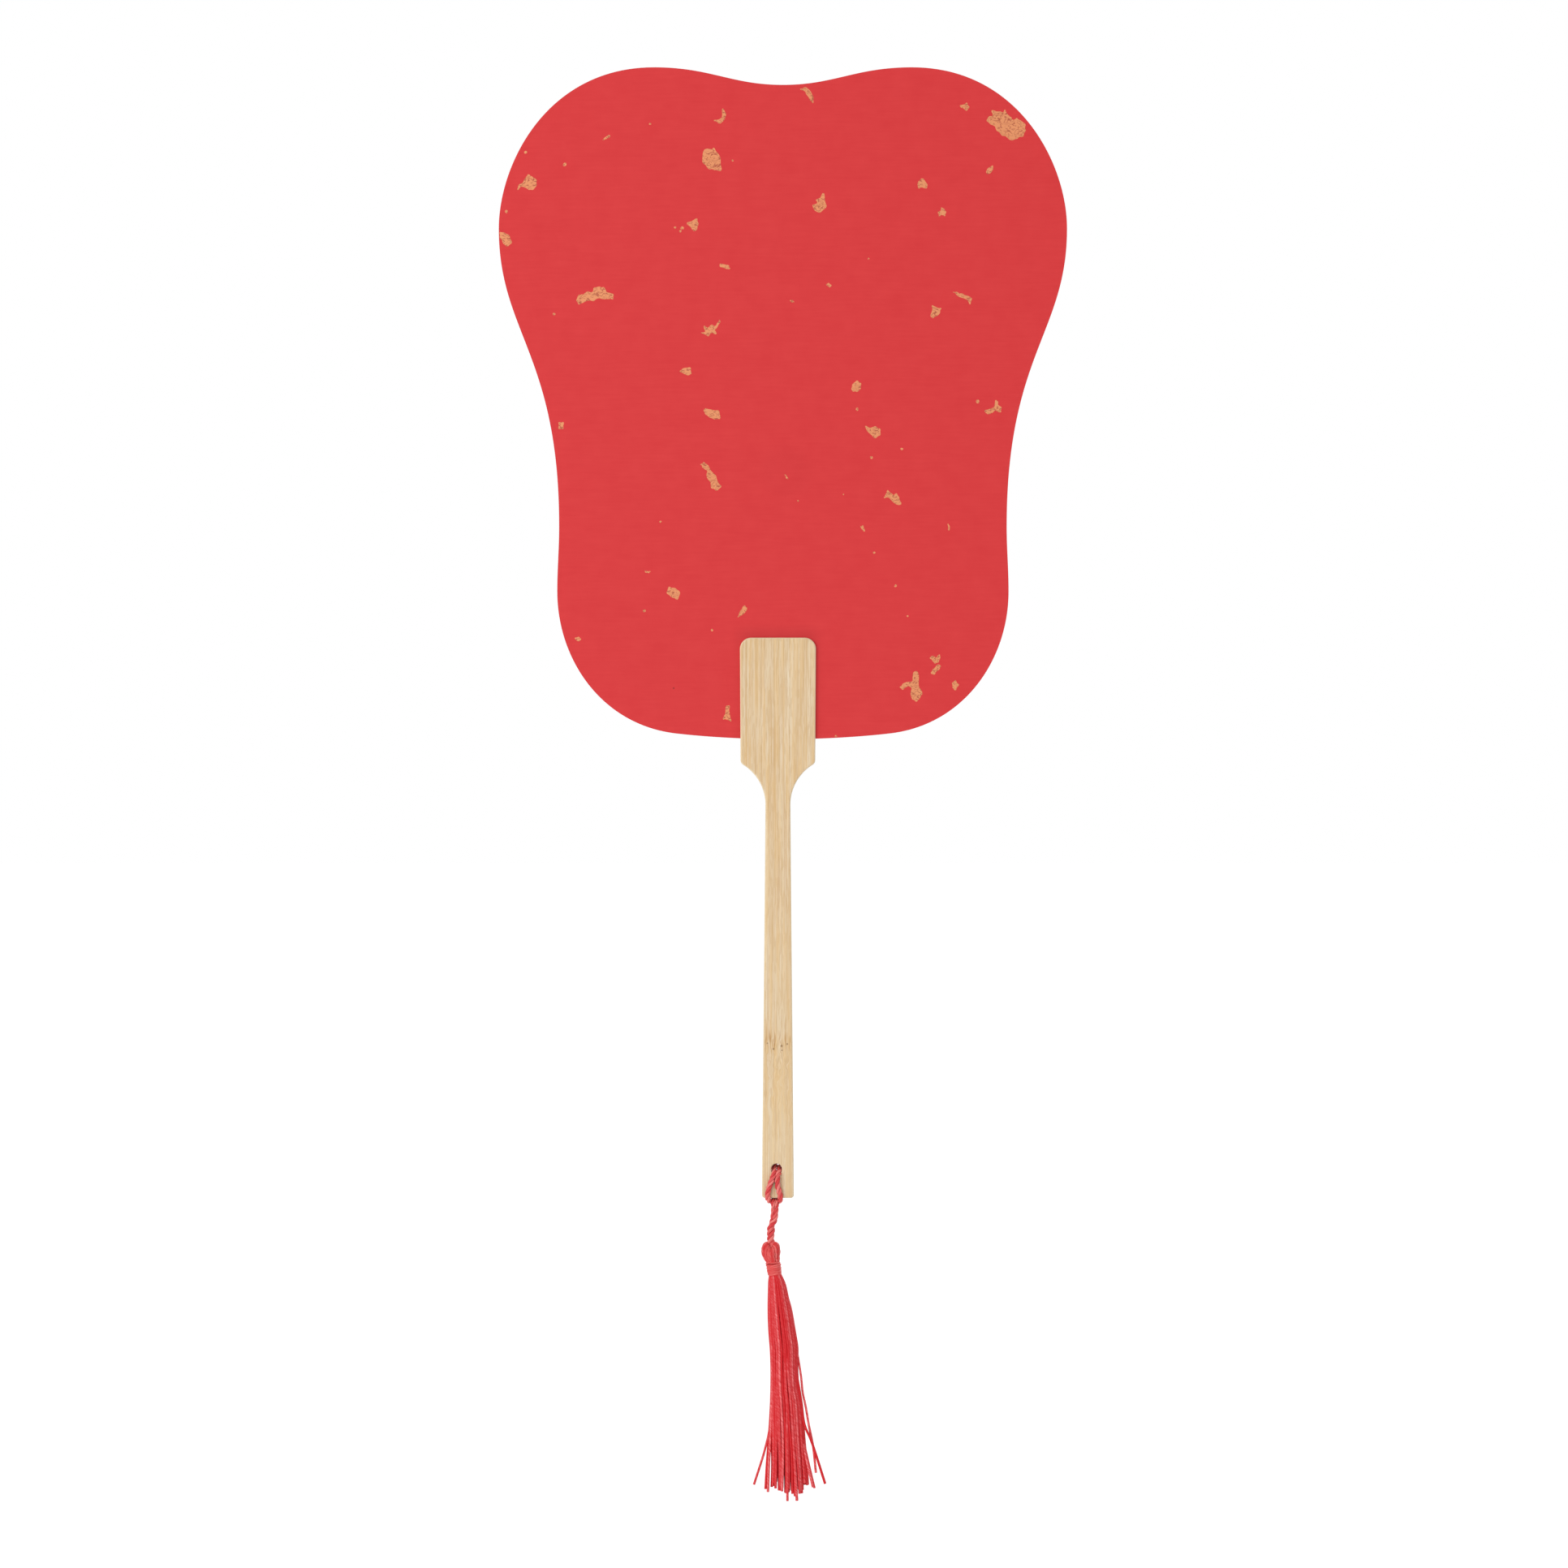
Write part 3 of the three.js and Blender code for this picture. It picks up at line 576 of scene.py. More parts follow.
def make_head(material, rng):
    """Threads folded over the cord's knot and drawn in under the binding."""
    height, middle, radius = smooth_line(HEAD_THREAD, HEAD_STEP).T
    routes = []
    for index in range(HEAD_THREADS):
        start = 2 * math.pi * (index + rng.uniform(-HEAD_PLACE_SPREAD, HEAD_PLACE_SPREAD)) / HEAD_THREADS
        angle = start + np.linspace(0, rng.uniform(-HEAD_LEAN, HEAD_LEAN), len(height))
        reach = rng.uniform(*HEAD_REACH)
        wave = HEAD_WAVE * np.sin(HEAD_WAVE_RATE * height + rng.uniform(*PHASES))
        full = radius * (reach + wave)
        front_dip = HEAD_FRONT_DIP * max(0, -math.sin(start)) ** HEAD_DIP_POWER
        dip = front_dip * np.interp(height, HEAD_DIP_HEIGHTS, (0, 1))
        points = ring_points(middle, full, angle, height - dip)
        thin = np.interp(radius, HEAD_THIN_RADII, (HEAD_THIN, 1))
        thickness = HEAD_THREAD_RADIUS * thin * rng.uniform(*HEAD_RADIUS_SPREAD)
        routes.append(route_of(points, thickness * MM))
    return sweep("tassel_head_threads", routes, sides=10, lanes=HEAD_THREADS, material=material)


def make_wrap(material, rng):
    """The thread wound round the neck, a little uneven from turn to turn."""
    share = np.linspace(0, 1, WRAP_TURNS * WRAP_STEPS)
    turn, *columns = np.array(WRAP_SHAPE).T
    height, middle, radius = [np.interp(share * WRAP_TURNS, turn, column) for column in columns]
    angle = math.pi / 2 + 2 * math.pi * WRAP_TURNS * share
    bumps = WRAP_TURNS * WRAP_BUMPS
    uneven = [rng.uniform(-WRAP_UNEVEN, WRAP_UNEVEN) for _ in range(bumps + 1)]
    full = radius + np.interp(share * bumps, np.arange(bumps + 1), uneven)
    points = ring_points(middle, full, angle, height + WRAP_SLANT * np.cos(angle))
    route = route_of(points, np.full(len(share), WRAP_RADIUS * MM))
    return sweep("neck_wrap", [route], sides=12, lanes=1, material=material)


def bundle_places(rng):
    """Places of the threads across the bundle, in rings, as shares of its half width and half depth."""
    places = []
    for radius, count in SKIRT_RINGS:
        for index in range(count):
            turn = 2 * math.pi * (index + rng.uniform(-RING_SPREAD, RING_SPREAD)) / count
            reach = radius + rng.uniform(*RING_DEPTH)
            places.append((reach * math.cos(turn), reach * math.sin(turn)))
    return places


def skirt_thread(place, clump, rng):
    """One thread, down the skirt's shape at its place in it, then in towards its clump."""
    end = TIP_CLUMPS[clump] + END_SPREAD * rng.uniform(0, 1) ** 2
    height = np.arange(SKIRT_SHAPE[0][0], end, -SKIRT_STEP)
    shape = smooth_line(SKIRT_SHAPE, SKIRT_SHAPE_STEP)[::-1]
    middle = np.interp(height, shape[:, 0], shape[:, 1])
    half = np.interp(height, shape[:, 0], shape[:, 2])
    pull = np.interp(height, [SKIRT_END, CLUMP_START], [CLUMP_PULL, 0])
    depth = np.interp(height, [SKIRT_END, SKIRT_SHAPE[0][0]], [TIP_DEPTH, NECK_DEPTH])
    wave = np.sin(height / rng.uniform(*SWAY_LENGTHS) + rng.uniform(*PHASES))
    sway = SWAY * wave * np.interp(height, SWAY_HEIGHTS, (1, 0))
    aside = clump + rng.uniform(-CLUMP_SPREAD, CLUMP_SPREAD) - place[0]
    x = middle + half * (place[0] + aside * pull) + sway
    y = TASSEL_Y + half * depth * place[1]
    return np.stack([x, y, height], axis=1) * MM


def make_skirt(material, rng):
    """The strays, and the threads of the bundle, each drawn towards the clump nearest to it."""
    lines = [smooth_line(stray, SKIRT_STEP) * MM for stray in STRAYS]
    for place in bundle_places(rng):
        clump = min(TIP_CLUMPS, key=lambda across: abs(across - place[0]))
        lines.append(skirt_thread(place, clump, rng))
    routes = []
    for line in lines:
        radii = at_heights(THREAD_RADII, line[:, 2])[0] * rng.uniform(*THREAD_SPREAD)
        routes.append(route_of(line, radii))
    return sweep("skirt_threads", routes, sides=7, lanes=len(routes), material=material)


def make_tassel():
    rng = random.Random(TASSEL_SEED)
    bound = bound_rayon_thread_painted_lighter()
    head = make_head(bound, rng)
    wrap = make_wrap(bound, rng)
    skirt = make_skirt(twisted_rayon_thread(), rng)
    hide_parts("tassel_head")
    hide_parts("neck_binding")
    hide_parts(*[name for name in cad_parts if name.startswith("skirt_thread")])
    for piece in (head, wrap, skirt):
        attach(piece, "tassel")


# Flat pieces cut to an outline.
def cut_blade(name, outlines, thickness, edge, middle, steps):
    """A flat piece of closed outlines in X and Z, upright at y = middle, its rims rounded by the edge.

    A knot of an outline is a place, or a place with the handles before and after it.
    """
    bpy.ops.object.select_all(action="DESELECT")
    bpy.ops.curve.primitive_bezier_circle_add(location=(0, middle, 0), rotation=(math.pi / 2, 0, 0))
    piece = bpy.context.object
    piece.name = name
    piece.data.name = name
    curve = piece.data
    curve.splines.clear()
    curve.dimensions = "2D"
    curve.fill_mode = "BOTH"
    curve.resolution_u = steps
    curve.extrude = thickness / 2 - edge
    curve.bevel_depth = edge
    curve.bevel_resolution = EDGE_STEPS
    curve.offset = -edge
    for outline in outlines:
        spline = curve.splines.new("BEZIER")
        spline.use_cyclic_u = True
        spline.bezier_points.add(len(outline) - 1)
        for point, knot in zip(spline.bezier_points, outline):
            if len(knot) == 2:
                point.co = (*knot, 0)
                point.handle_left_type = "AUTO"
                point.handle_right_type = "AUTO"
            else:
                point.co, point.handle_left, point.handle_right = [(*place, 0) for place in knot]
    bpy.ops.object.convert(target="MESH")
    bpy.ops.object.transform_apply(location=True, rotation=True, scale=True)
    bpy.ops.object.mode_set(mode="EDIT")
    bpy.ops.mesh.select_all(action="SELECT")
    bpy.ops.mesh.remove_doubles(threshold=WELD_DISTANCE)
    bpy.ops.mesh.normals_make_consistent(inside=False)
    bpy.ops.object.mode_set(mode="OBJECT")
    bpy.ops.object.shade_smooth_by_angle(angle=BLADE_SHARP)
    return bpy.context.object


def modify(piece, kind, **settings):
    """Gives a piece a modifier and applies it."""
    bpy.context.view_layer.objects.active = piece
    bpy.ops.object.modifier_add(type=kind)
    modifier = piece.modifiers[-1]
    for name, value in settings.items():
        setattr(modifier, name, value)
    bpy.ops.object.modifier_apply(modifier=modifier.name)


def flatten_faces(piece):
    """Lets the flat faces keep their own normals, so that only the rounded edges shade round."""
    modify(piece, "WEIGHTED_NORMAL", keep_sharp=True, weight=FACE_WEIGHT)


# Leaf.
def mirrored(point):
    return (-point[0], point[1])


def other_side(knots):
    """The knots mirrored, in the opposite order."""
    turned = [(place, after, before) for place, before, after in reversed(knots)]
    return [[mirrored(point) for point in knot] for knot in turned]


def leaf_outline():
    """The leaf's knots: down the right side from the dip in its top edge, then up the left."""
    low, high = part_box("front_paper")
    widest = (high.x - low.x) / 2
    top = high.z - low.z
    places = [
        (0, top - LEAF_DIP), (LEAF_LOBE, top), (widest, LEAF_WIDEST_HEIGHT),
        (LEAF_WAIST, LEAF_WAIST_HEIGHT), (LEAF_BULGE, LEAF_BULGE_HEIGHT),
        (LEAF_FLAT, LEAF_FLAT_RISE), (0, 0),
    ]
    befores, afters = [], []
    for start, end, (leaving, arriving) in zip(places, places[1:], LEAF_HANDLES):
        afters.append([a + share * (b - a) for a, b, share in zip(start, end, leaving)])
        befores.append([b - share * (b - a) for a, b, share in zip(start, end, arriving)])
    befores.insert(0, mirrored(afters[0]))
    afters.append(mirrored(befores[-1]))
    right = list(zip(places, befores, afters))
    middle = (low.x + high.x) / 2
    return [[(x + middle, z + low.z) for x, z in knot] for knot in right + other_side(right[1:-1])]


def make_leaf():
    paper = red_dyed_paper()
    sheets = {  # name: its node, slot, edge and material
        "card_core": ("leaf_board", "board", BOARD_EDGE, die_cut_card()),
        "front_sheet": ("front_paper", "paper", PAPER_EDGE, paper),
        "back_sheet": ("back_paper", "paper", PAPER_EDGE, paper),
    }
    outline = leaf_outline()
    for name, (node, slot, edge, material) in sheets.items():
        low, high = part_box(node)
        sheet = cut_blade(name, [outline], high.y - low.y, edge, (low.y + high.y) / 2, steps=48)
        flatten_faces(sheet)
        sheet.data.materials.append(material)
        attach(sheet, "fan")
        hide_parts(node)


# Gold flecks, in millimetres.
FLECK_SEED = 5
TORN_SHARE = 0.09  # how far a fleck's edge is torn, as a share of its size, and at most
TORN_MOST = 0.22
SPECK_CORNERS = 5
SPECK_SPREAD = (0.9, 1.6)
BACK_SHIFT = 4  # the back's flecks are the front's turned over, drawn together and shifted
BACK_SHARE = 0.72
BACK_CLEARANCE = 5
# The middle of each fleck on the front and its outline round that.
FLECKS = [
    ((84.6, 315.2), [
        (-5.6, 5.4), (-3.7, 5), (-1.4, 4.7), (-0.8, 5.7), (0.9, 3.4), (2.1, 2), (3.6, 2.6), (5.1, 1.7),
        (6.9, 0.2), (7, -2), (6.1, -4.1), (4.7, -4.4), (2.8, -5.4), (1.3, -5.6), (-0.6, -4.1), (-2.1, -3.7),
        (-3.8, -2.1), (-4.4, -0.6), (-6, 0.2), (-7.5, 1.5), (-6.7, 3.2), (-5.2, 3.6),
    ]),
    ((-67.5, 252.2), [
        (-7, -1.9), (-6.1, 0.2), (-4.2, 0.5), (-2.7, 1.5), (-1.1, 1.3), (-0.6, 2.8), (1.5, 3.3), (3.2, 3.1),
        (4.2, 1.3), (6.9, 0.2), (6.7, -1.3), (4.6, -1.3), (1.5, -1), (-0.6, -2.1), (-2.3, -1.9),
        (-4.2, -2.5), (-6.1, -3.3),
    ]),
    ((-24.4, 302.3), [
        (-3.3, 2.7), (-2.4, 4), (0.2, 4), (0.9, 4.4), (2.4, 2.3), (3.2, 0.4), (3.4, -4), (1.5, -3.8),
        (0.2, -3.4), (-1.4, -3.2), (-3.4, -1.1),
    ]),
    ((-24.7, 185.2), [
        (-4, 4.5), (-2.7, 5.5), (-1.3, 4.5), (-0.2, 2.5), (1.9, 0.3), (2.6, -1.9), (3.8, -3.4), (1.9, -5.1),
        (0.1, -4.2), (-0.4, -1.7), (-1.6, 0), (-1.4, 2.1), (-3.3, 3.6),
    ]),
    ((49.2, 107.5), [
        (-4.2, 0), (-3.2, 1.1), (-1.5, 1.9), (0.4, 2.2), (0.8, 5.3), (2.1, 5.9), (2.9, 4), (2.8, 1.3),
        (3.4, -0.6), (4.2, -2.5), (3.2, -4.2), (1.9, -5.4), (0.4, -4.5), (-0.2, -2.5), (0.2, -0.6),
        (-0.8, 0.3), (-3.2, -1),
    ]),
    ((58.2, 117.9), [
        (-2.1, 0.3), (-1, 1.2), (0.3, 0.5), (1.5, 1.7), (1.8, 0.3), (1.1, -1.3), (-0.2, -1.7), (-1, -0.9),
    ]),
    ((58.4, 113.9), [(0.5, 1.9), (1.8, 1.4), (1.3, 0.2), (-0.8, -1.9), (-1.9, -1.3), (-1.2, 0.2)]),
    ((79.5, 210.5), [
        (-3.2, -0.8), (-1.7, -0.3), (0.2, 0.4), (1, 3.1), (1.9, 2.3), (2.1, 1.1), (3.2, 0.3), (2.9, -1.4),
        (0.8, -0.8), (-0.8, -1.9), (-2.1, -2.1),
    ]),
    ((42.4, 177.4), [
        (-3.2, 0), (-2.5, 1.5), (-1.9, 2.9), (-0.8, 1.9), (0.4, 1.1), (1.5, 1.7), (2.4, 0.3), (3.2, -2.3),
        (1.7, -2.5), (0, -1.4), (-1.3, 0),
    ]),
    ((35.5, 201.8), [
        (-3.2, 2.2), (-1.5, 1.5), (0.6, 2.1), (2.3, 1.1), (2.3, -1.2), (0.3, -2.4), (-1.1, -1), (-2.4, 0.2),
    ]),
    ((29, 218.6), [(-1.9, -1), (-1.5, 0.7), (0.3, 2.2), (1.8, 1.1), (1.6, -0.8), (0.1, -2), (-1.3, -1.9)]),
    ((15.5, 286.4), [
        (1.3, 3.7), (1.8, 1.4), (2.5, -1.3), (-0.2, -3.6), (-1.9, -2.8), (-2.7, -0.8), (-1, 0), (-1.5, 1),
        (0.2, 2),
    ]),
    ((-24.8, 239.9), [
        (-3.7, -1.5), (-2.1, -1), (-2.5, 1.1), (-1.2, 0.4), (0.2, 1.5), (1.5, 1), (2.4, 2.3), (3.2, 3.4),
        (3.6, 2.7), (2.3, 0.4), (1.5, -0.4), (2.1, -1.9), (0.5, -1.5), (-1, -2.8), (-2.3, -2.1),
    ]),
    ((-92.4, 293.9), [
        (-3.8, -2.7), (-3.4, -0.8), (-1.9, 0), (-0.8, 1.9), (0.2, 3.1), (1.5, 2.3), (3.3, 0.9), (3.3, -0.9),
        (1.8, -2.7), (0.5, -2.7), (-0.8, -1.9), (-2.5, -1.5),
    ]),
    ((-100.8, 273.2), [
        (-2, 2.4), (-0.4, 2.3), (1.5, 1.4), (2.5, -1.5), (0.8, -2.9), (-0.8, -1.7), (-2, 0.4),
    ]),
    ((-21.2, 318.4), [
        (0.8, 2.9), (2.1, 0.8), (1.5, -1.1), (-0.4, -2.7), (-2.5, -1.5), (-0.8, -1.2), (0.4, -0.4),
        (0.6, 1.1),
    ]),
    ((10.9, 326.4), [
        (-2.7, 2.1), (-0.8, 2.8), (1, 1.5), (2.3, -1.1), (2.1, -3.1), (0.8, -1.9), (0, -0.4), (-0.8, 1.1),
    ]),
    ((-31.2, 278.4), [
        (-2.5, 0.5), (-1.1, 1.1), (1.3, 2.3), (1.9, 0.2), (1.3, -1.8), (0.2, -2.4), (-1, -1),
    ]),
    ((-19.6, 263), [
        (-1.8, 0.9), (-0.1, 0.7), (1.5, 0.3), (2, -0.8), (0.9, -1.1), (-0.5, -0.6), (-1.7, -0.3),
    ]),
    ((-34, 224.2), [(-2.3, 0), (-1, 1.1), (1.7, 1.4), (2.1, -0.8), (0.9, -1.5), (-0.8, -0.9)]),
    ((-24.4, 208.4), [
        (-3.1, 1.3), (-2.4, 2.1), (-0.4, 1.7), (2.5, 1.3), (3, -1.7), (0.8, -1.9), (-0.8, -1.3), (-2.5, 0),
    ]),
    ((-38.7, 142.3), [(-2.4, 0), (-1.5, 2.3), (0.4, 1.9), (2.5, 0.3), (1.5, -2.5), (-0.4, -1.7)]),
    ((-13.1, 135.5), [(-1.7, -2.2), (-1.1, -0.3), (0.8, 2.2), (1.7, 1.3), (0.6, -0.8), (-0.6, -1.6)]),
    ((-18.7, 97.7), [
        (-0.4, 2.9), (0.8, 3), (1, -0.5), (1.4, -2.9), (-0.3, -2.2), (-1.5, -2.2), (-0.8, -0.1),
    ]),
    ((68.3, 251.8), [
        (-3.6, 1.7), (-2.3, 1.8), (0, 1.1), (1.5, 0.4), (3.4, -0.8), (2.7, -2.9), (1.8, -1.4), (-0.4, -0.4),
        (-2.3, 0.6),
    ]),
    ((58.4, 246.3), [
        (-1.4, 2.3), (-0.1, 1.7), (2, 1.2), (1.5, -0.5), (0.2, -1.8), (-1.1, -2.5), (-2, -1.8),
        (-1.6, -0.2),
    ]),
    ((53.5, 293.4), [(0, 2.1), (1.8, -0.3), (1.6, -1.5), (-0.5, -1.2), (-1.5, -1.7), (-1.9, 0.3)]),
    ((60.7, 283), [
        (-0.3, 1.8), (0.7, 1.3), (1.5, 0), (1.1, -1.4), (-0.3, -1), (-1.2, -1.6), (-1.6, 0), (-0.6, 0.5),
    ]),
    ((78.3, 298.6), [(-1.4, -0.8), (-0.8, 0.5), (1.2, 1.6), (1.3, 0.7), (0.2, -1.2), (-0.8, -1.6)]),
    ((69.1, 322), [
        (-1.8, 0.5), (-0.3, 0.9), (0.7, 1.5), (1.7, -0.2), (0.7, -1.5), (-0.6, -0.6), (-1.6, -0.2),
    ]),
    ((-80.2, 204.1), [(-0.8, 1.3), (1, 1.3), (0.8, -1.3), (-0.9, -1.1)]),
    ((-73.8, 125.3), [(-1.3, 0.3), (0.2, 0.8), (1.1, -0.2), (0.2, -1), (-0.7, -0.5)]),
    ((65.6, 108.2), [(-1.3, 0.8), (0, 1.9), (1.3, 0.2), (0, -1.9), (-1.1, -0.7)]),
    ((-63.3, 310.7), [(-1.5, -1.1), (-0.8, -0.2), (1, 0.9), (1.3, 0.2), (0, -0.6)]),
    ((31.1, 166.1), [(-0.6, 0.8), (0.3, 1.2), (1, -1.1), (0.2, -0.7)]),
    ((63.1, 166.6), [(-0.3, 1.3), (0.4, 0.3), (0.2, -1.2), (-0.2, -1)]),
    ((3, 185.2), [(-0.4, 1), (0.1, 0.5), (0.8, -0.9), (0.1, -0.7)]),
    ((-48.1, 150.1), [(-1.2, 0.3), (1.1, 0.1), (0.5, -0.5), (-0.8, -0.3)]),
    ((18.8, 256.1), [(-1, 0.2), (0, 0.8), (1.1, -0.2), (0.3, -0.9)]),
    ((5.2, 250.1), [(-0.8, 0.3), (0.1, 0.5), (0.8, -0.3), (-0.1, -0.5)]),
]
# Specks of foil: place and width.
SPECKS = [
    (-47.3, 315.6, 0.7), (-78.8, 300.6, 1), (-93.2, 305.1, 0.8), (-100.3, 283.2, 1), (-82.7, 245.4, 0.9),
    (-16.7, 302.1, 0.5), (-43.4, 168.6, 0.6), (-49.4, 135.6, 0.9), (-24.3, 128.6, 0.7), (43.5, 144.9, 0.8),
    (35.6, 157.2, 0.6), (34.5, 192.3, 0.8), (45.8, 195.5, 0.7), (29.3, 210.3, 0.9), (7.4, 176.3, 0.5),
    (33.5, 265.8, 0.5), (21.5, 89.4, 0.7), (73.7, 213, 1.1), (47.9, 133.7, 0.5), (24.2, 178.7, 0.4),
    (-38.1, 277.4, 0.7), (-35.4, 277.2, 1), (-36.1, 276, 0.7),
]


def ragged(place, outline, rng):
    """A fleck's outline in metres, with a torn step between each two of its points."""
    size = max(math.hypot(x, z) for x, z in outline)
    torn = min(TORN_MOST, TORN_SHARE * size)
    ring = []
    for (x, z), (next_x, next_z) in zip(outline, outline[1:] + outline[:1]):
        ring.append((x, z))
        ring.append([(a + b) / 2 + rng.uniform(-torn, torn) for a, b in ((x, next_x), (z, next_z))])
    return [((place[0] + x) * MM, (place[1] + z) * MM) for x, z in ring]


def speck(x, z, width, rng):
    """A speck's uneven outline in metres."""
    turns = [2 * math.pi * corner / SPECK_CORNERS for corner in range(SPECK_CORNERS)]
    radii = [width / 2 * rng.uniform(*SPECK_SPREAD) for _ in turns]
    return [((x + r * math.cos(turn)) * MM, (z + r * math.sin(turn)) * MM) for r, turn in zip(radii, turns)]


def make_flecks():
    rng = random.Random(FLECK_SEED)
    foil = gold_foil()
    front = [ragged(place, outline, rng) for place, outline in FLECKS]
    front += [speck(x, z, width, rng) for x, z, width in SPECKS]
    low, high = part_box("front_paper")
    middle = (low.z + high.z) / 2 / MM
    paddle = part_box("handle")[1]
    back = []
    for (x, z), outline in FLECKS:
        place = (BACK_SHIFT - BACK_SHARE * x, 2 * middle - z)
        beside = abs(place[0]) >= paddle.x / MM + BACK_CLEARANCE
        above = place[1] >= paddle.z / MM + BACK_CLEARANCE
        if beside or above:
            back.append(ragged(place, [(b, a) for a, b in outline], rng))
    surfaces = {
        "gold_flecks_front": (front, low.y - FLECK_THICKNESS / 2),
        "gold_flecks_back": (back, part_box("back_paper")[1].y + FLECK_THICKNESS / 2),
    }
    for name, (outlines, depth) in surfaces.items():
        flecks = cut_blade(name, outlines, FLECK_THICKNESS, 0, depth, steps=3)
        flecks.data.materials.append(foil)
        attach(flecks, "fan")


# Handle.
def arc(middle, radius, start, end):
    """The two knots of an arc between two angles."""
    handle = 4 / 3 * math.tan((end - start) / 4) * radius
    places = []
    for angle in (start, end):
        places.append((middle[0] + radius * math.cos(angle), middle[1] + radius * math.sin(angle)))
    after = (places[0][0] - handle * math.sin(start), places[0][1] + handle * math.cos(start))
    before = (places[1][0] + handle * math.sin(end), places[1][1] - handle * math.cos(end))
    return [(places[0], places[0], after), (places[1], before, places[1])]


def rounded(before, corner, after):
    """Two runs of knots joined by a curve that rounds the corner between them."""
    leaving, arriving = before[-1][0], after[0][0]
    pulls = []
    for place in (leaving, arriving):
        pulls.append([at + ROUNDING_PULL * (to - at) for at, to in zip(place, corner)])
    return [*before[:-1], (leaving, before[-1][1], pulls[0]), (arriving, pulls[1], after[0][2]), *after[1:]]


def handle_outline():
    """The stem, neck and paddle, anticlockwise from the right of the lower end."""
    low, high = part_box("handle")
    quarter = math.pi / 2
    end_corner = STEM_END_WIDTH / 2 - STEM_CORNER
    end_z = low.z + STEM_CORNER
    neck_x = STEM_NECK_WIDTH / 2 + NECK_RADIUS
    neck_z = low.z + STEM_LENGTH
    neck_turn = math.acos((neck_x - SHOULDER_WIDTH / 2) / NECK_RADIUS)
    corner = (SHOULDER_WIDTH / 2, neck_z + NECK_RADIUS * math.sin(neck_turn))
    side = (corner[0], corner[1] + SHOULDER_ROUNDING)
    neck_turn -= SHOULDER_ROUNDING / NECK_RADIUS
    top_corner = high.x - PADDLE_CORNER
    top_z = high.z - PADDLE_CORNER
    neck = arc((neck_x, neck_z), NECK_RADIUS, math.pi, math.pi - neck_turn)
    right = [
        *arc((end_corner, end_z), STEM_CORNER, -quarter, 0),
        *rounded(neck, corner, [(side, side, side)]),
        *arc((top_corner, top_z), PADDLE_CORNER, 0, quarter),
    ]
    return right + other_side(right)


def cut_slit(handle):
    """The saw slit that holds the leaf, cut down the middle of the paddle."""
    low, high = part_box("handle")
    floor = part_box("front_paper")[0].z - SLIT_CLEARANCE
    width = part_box("back_paper")[1].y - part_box("front_paper")[0].y + 2 * SLIT_CLEARANCE
    height = 2 * (high.z - floor)
    bpy.ops.object.select_all(action="DESELECT")
    bpy.ops.mesh.primitive_cube_add(size=1, location=(0, 0, floor + height / 2))
    saw = bpy.context.object
    saw.scale = (2 * (high.x - low.x), width, height)
    modify(handle, "BOOLEAN", operation="DIFFERENCE", object=saw)
    bpy.data.objects.remove(saw)


def make_handle():
    low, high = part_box("handle")
    hole_z = low.z + HOLE_INSET
    hole = [(HOLE_OFFSET + HOLE_RADIUS * math.cos(turn), hole_z - HOLE_RADIUS * math.sin(turn))
            for turn in (0, math.pi / 2, math.pi, 3 * math.pi / 2)]
    handle = cut_blade("bamboo_handle", [handle_outline(), hole], high.y - low.y, HANDLE_EDGE, 0, steps=16)
    cut_slit(handle)
    flatten_faces(handle)
    handle.data.materials.append(sanded_bamboo())
    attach(handle, "fan")
    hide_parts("handle")


# Materials. The sizes of their patterns are in millimetres.
FAR = 1000  # so long that a pattern doesn't change across a piece
NOISE_MIDDLE = 0.5
PLY_VARIATION = 0.5  # how much the plies differ, next to how much the fibres do
PADDLE_SHADE_FADE = 4 * MM  # how far in and out the painted shade above the paddle fades at the paddle's sides
PADDLE_SHADE_RISE = 6 * MM
PADDLE_SHADE_STRENGTH = 0.26
PAPER_STAINS = [  # place, radius of its full strength, radius where it ends, strength
    (-38.5, 107.1, 0.2, 0.5, 0.7),
    (2.8, 187, 6, 12, 0.035),
]


def streaks(tree, place, size, detail, **placing):
    """Noise whose blots have the given size along each axis."""
    scale = [1 / (length * MM) for length in size]
    at = add(tree, "Mapping", {"Vector": place, "Scale": scale, **placing})
    return add(tree, "TexNoise", {"Vector": at, "Scale": 1, "Detail": detail})


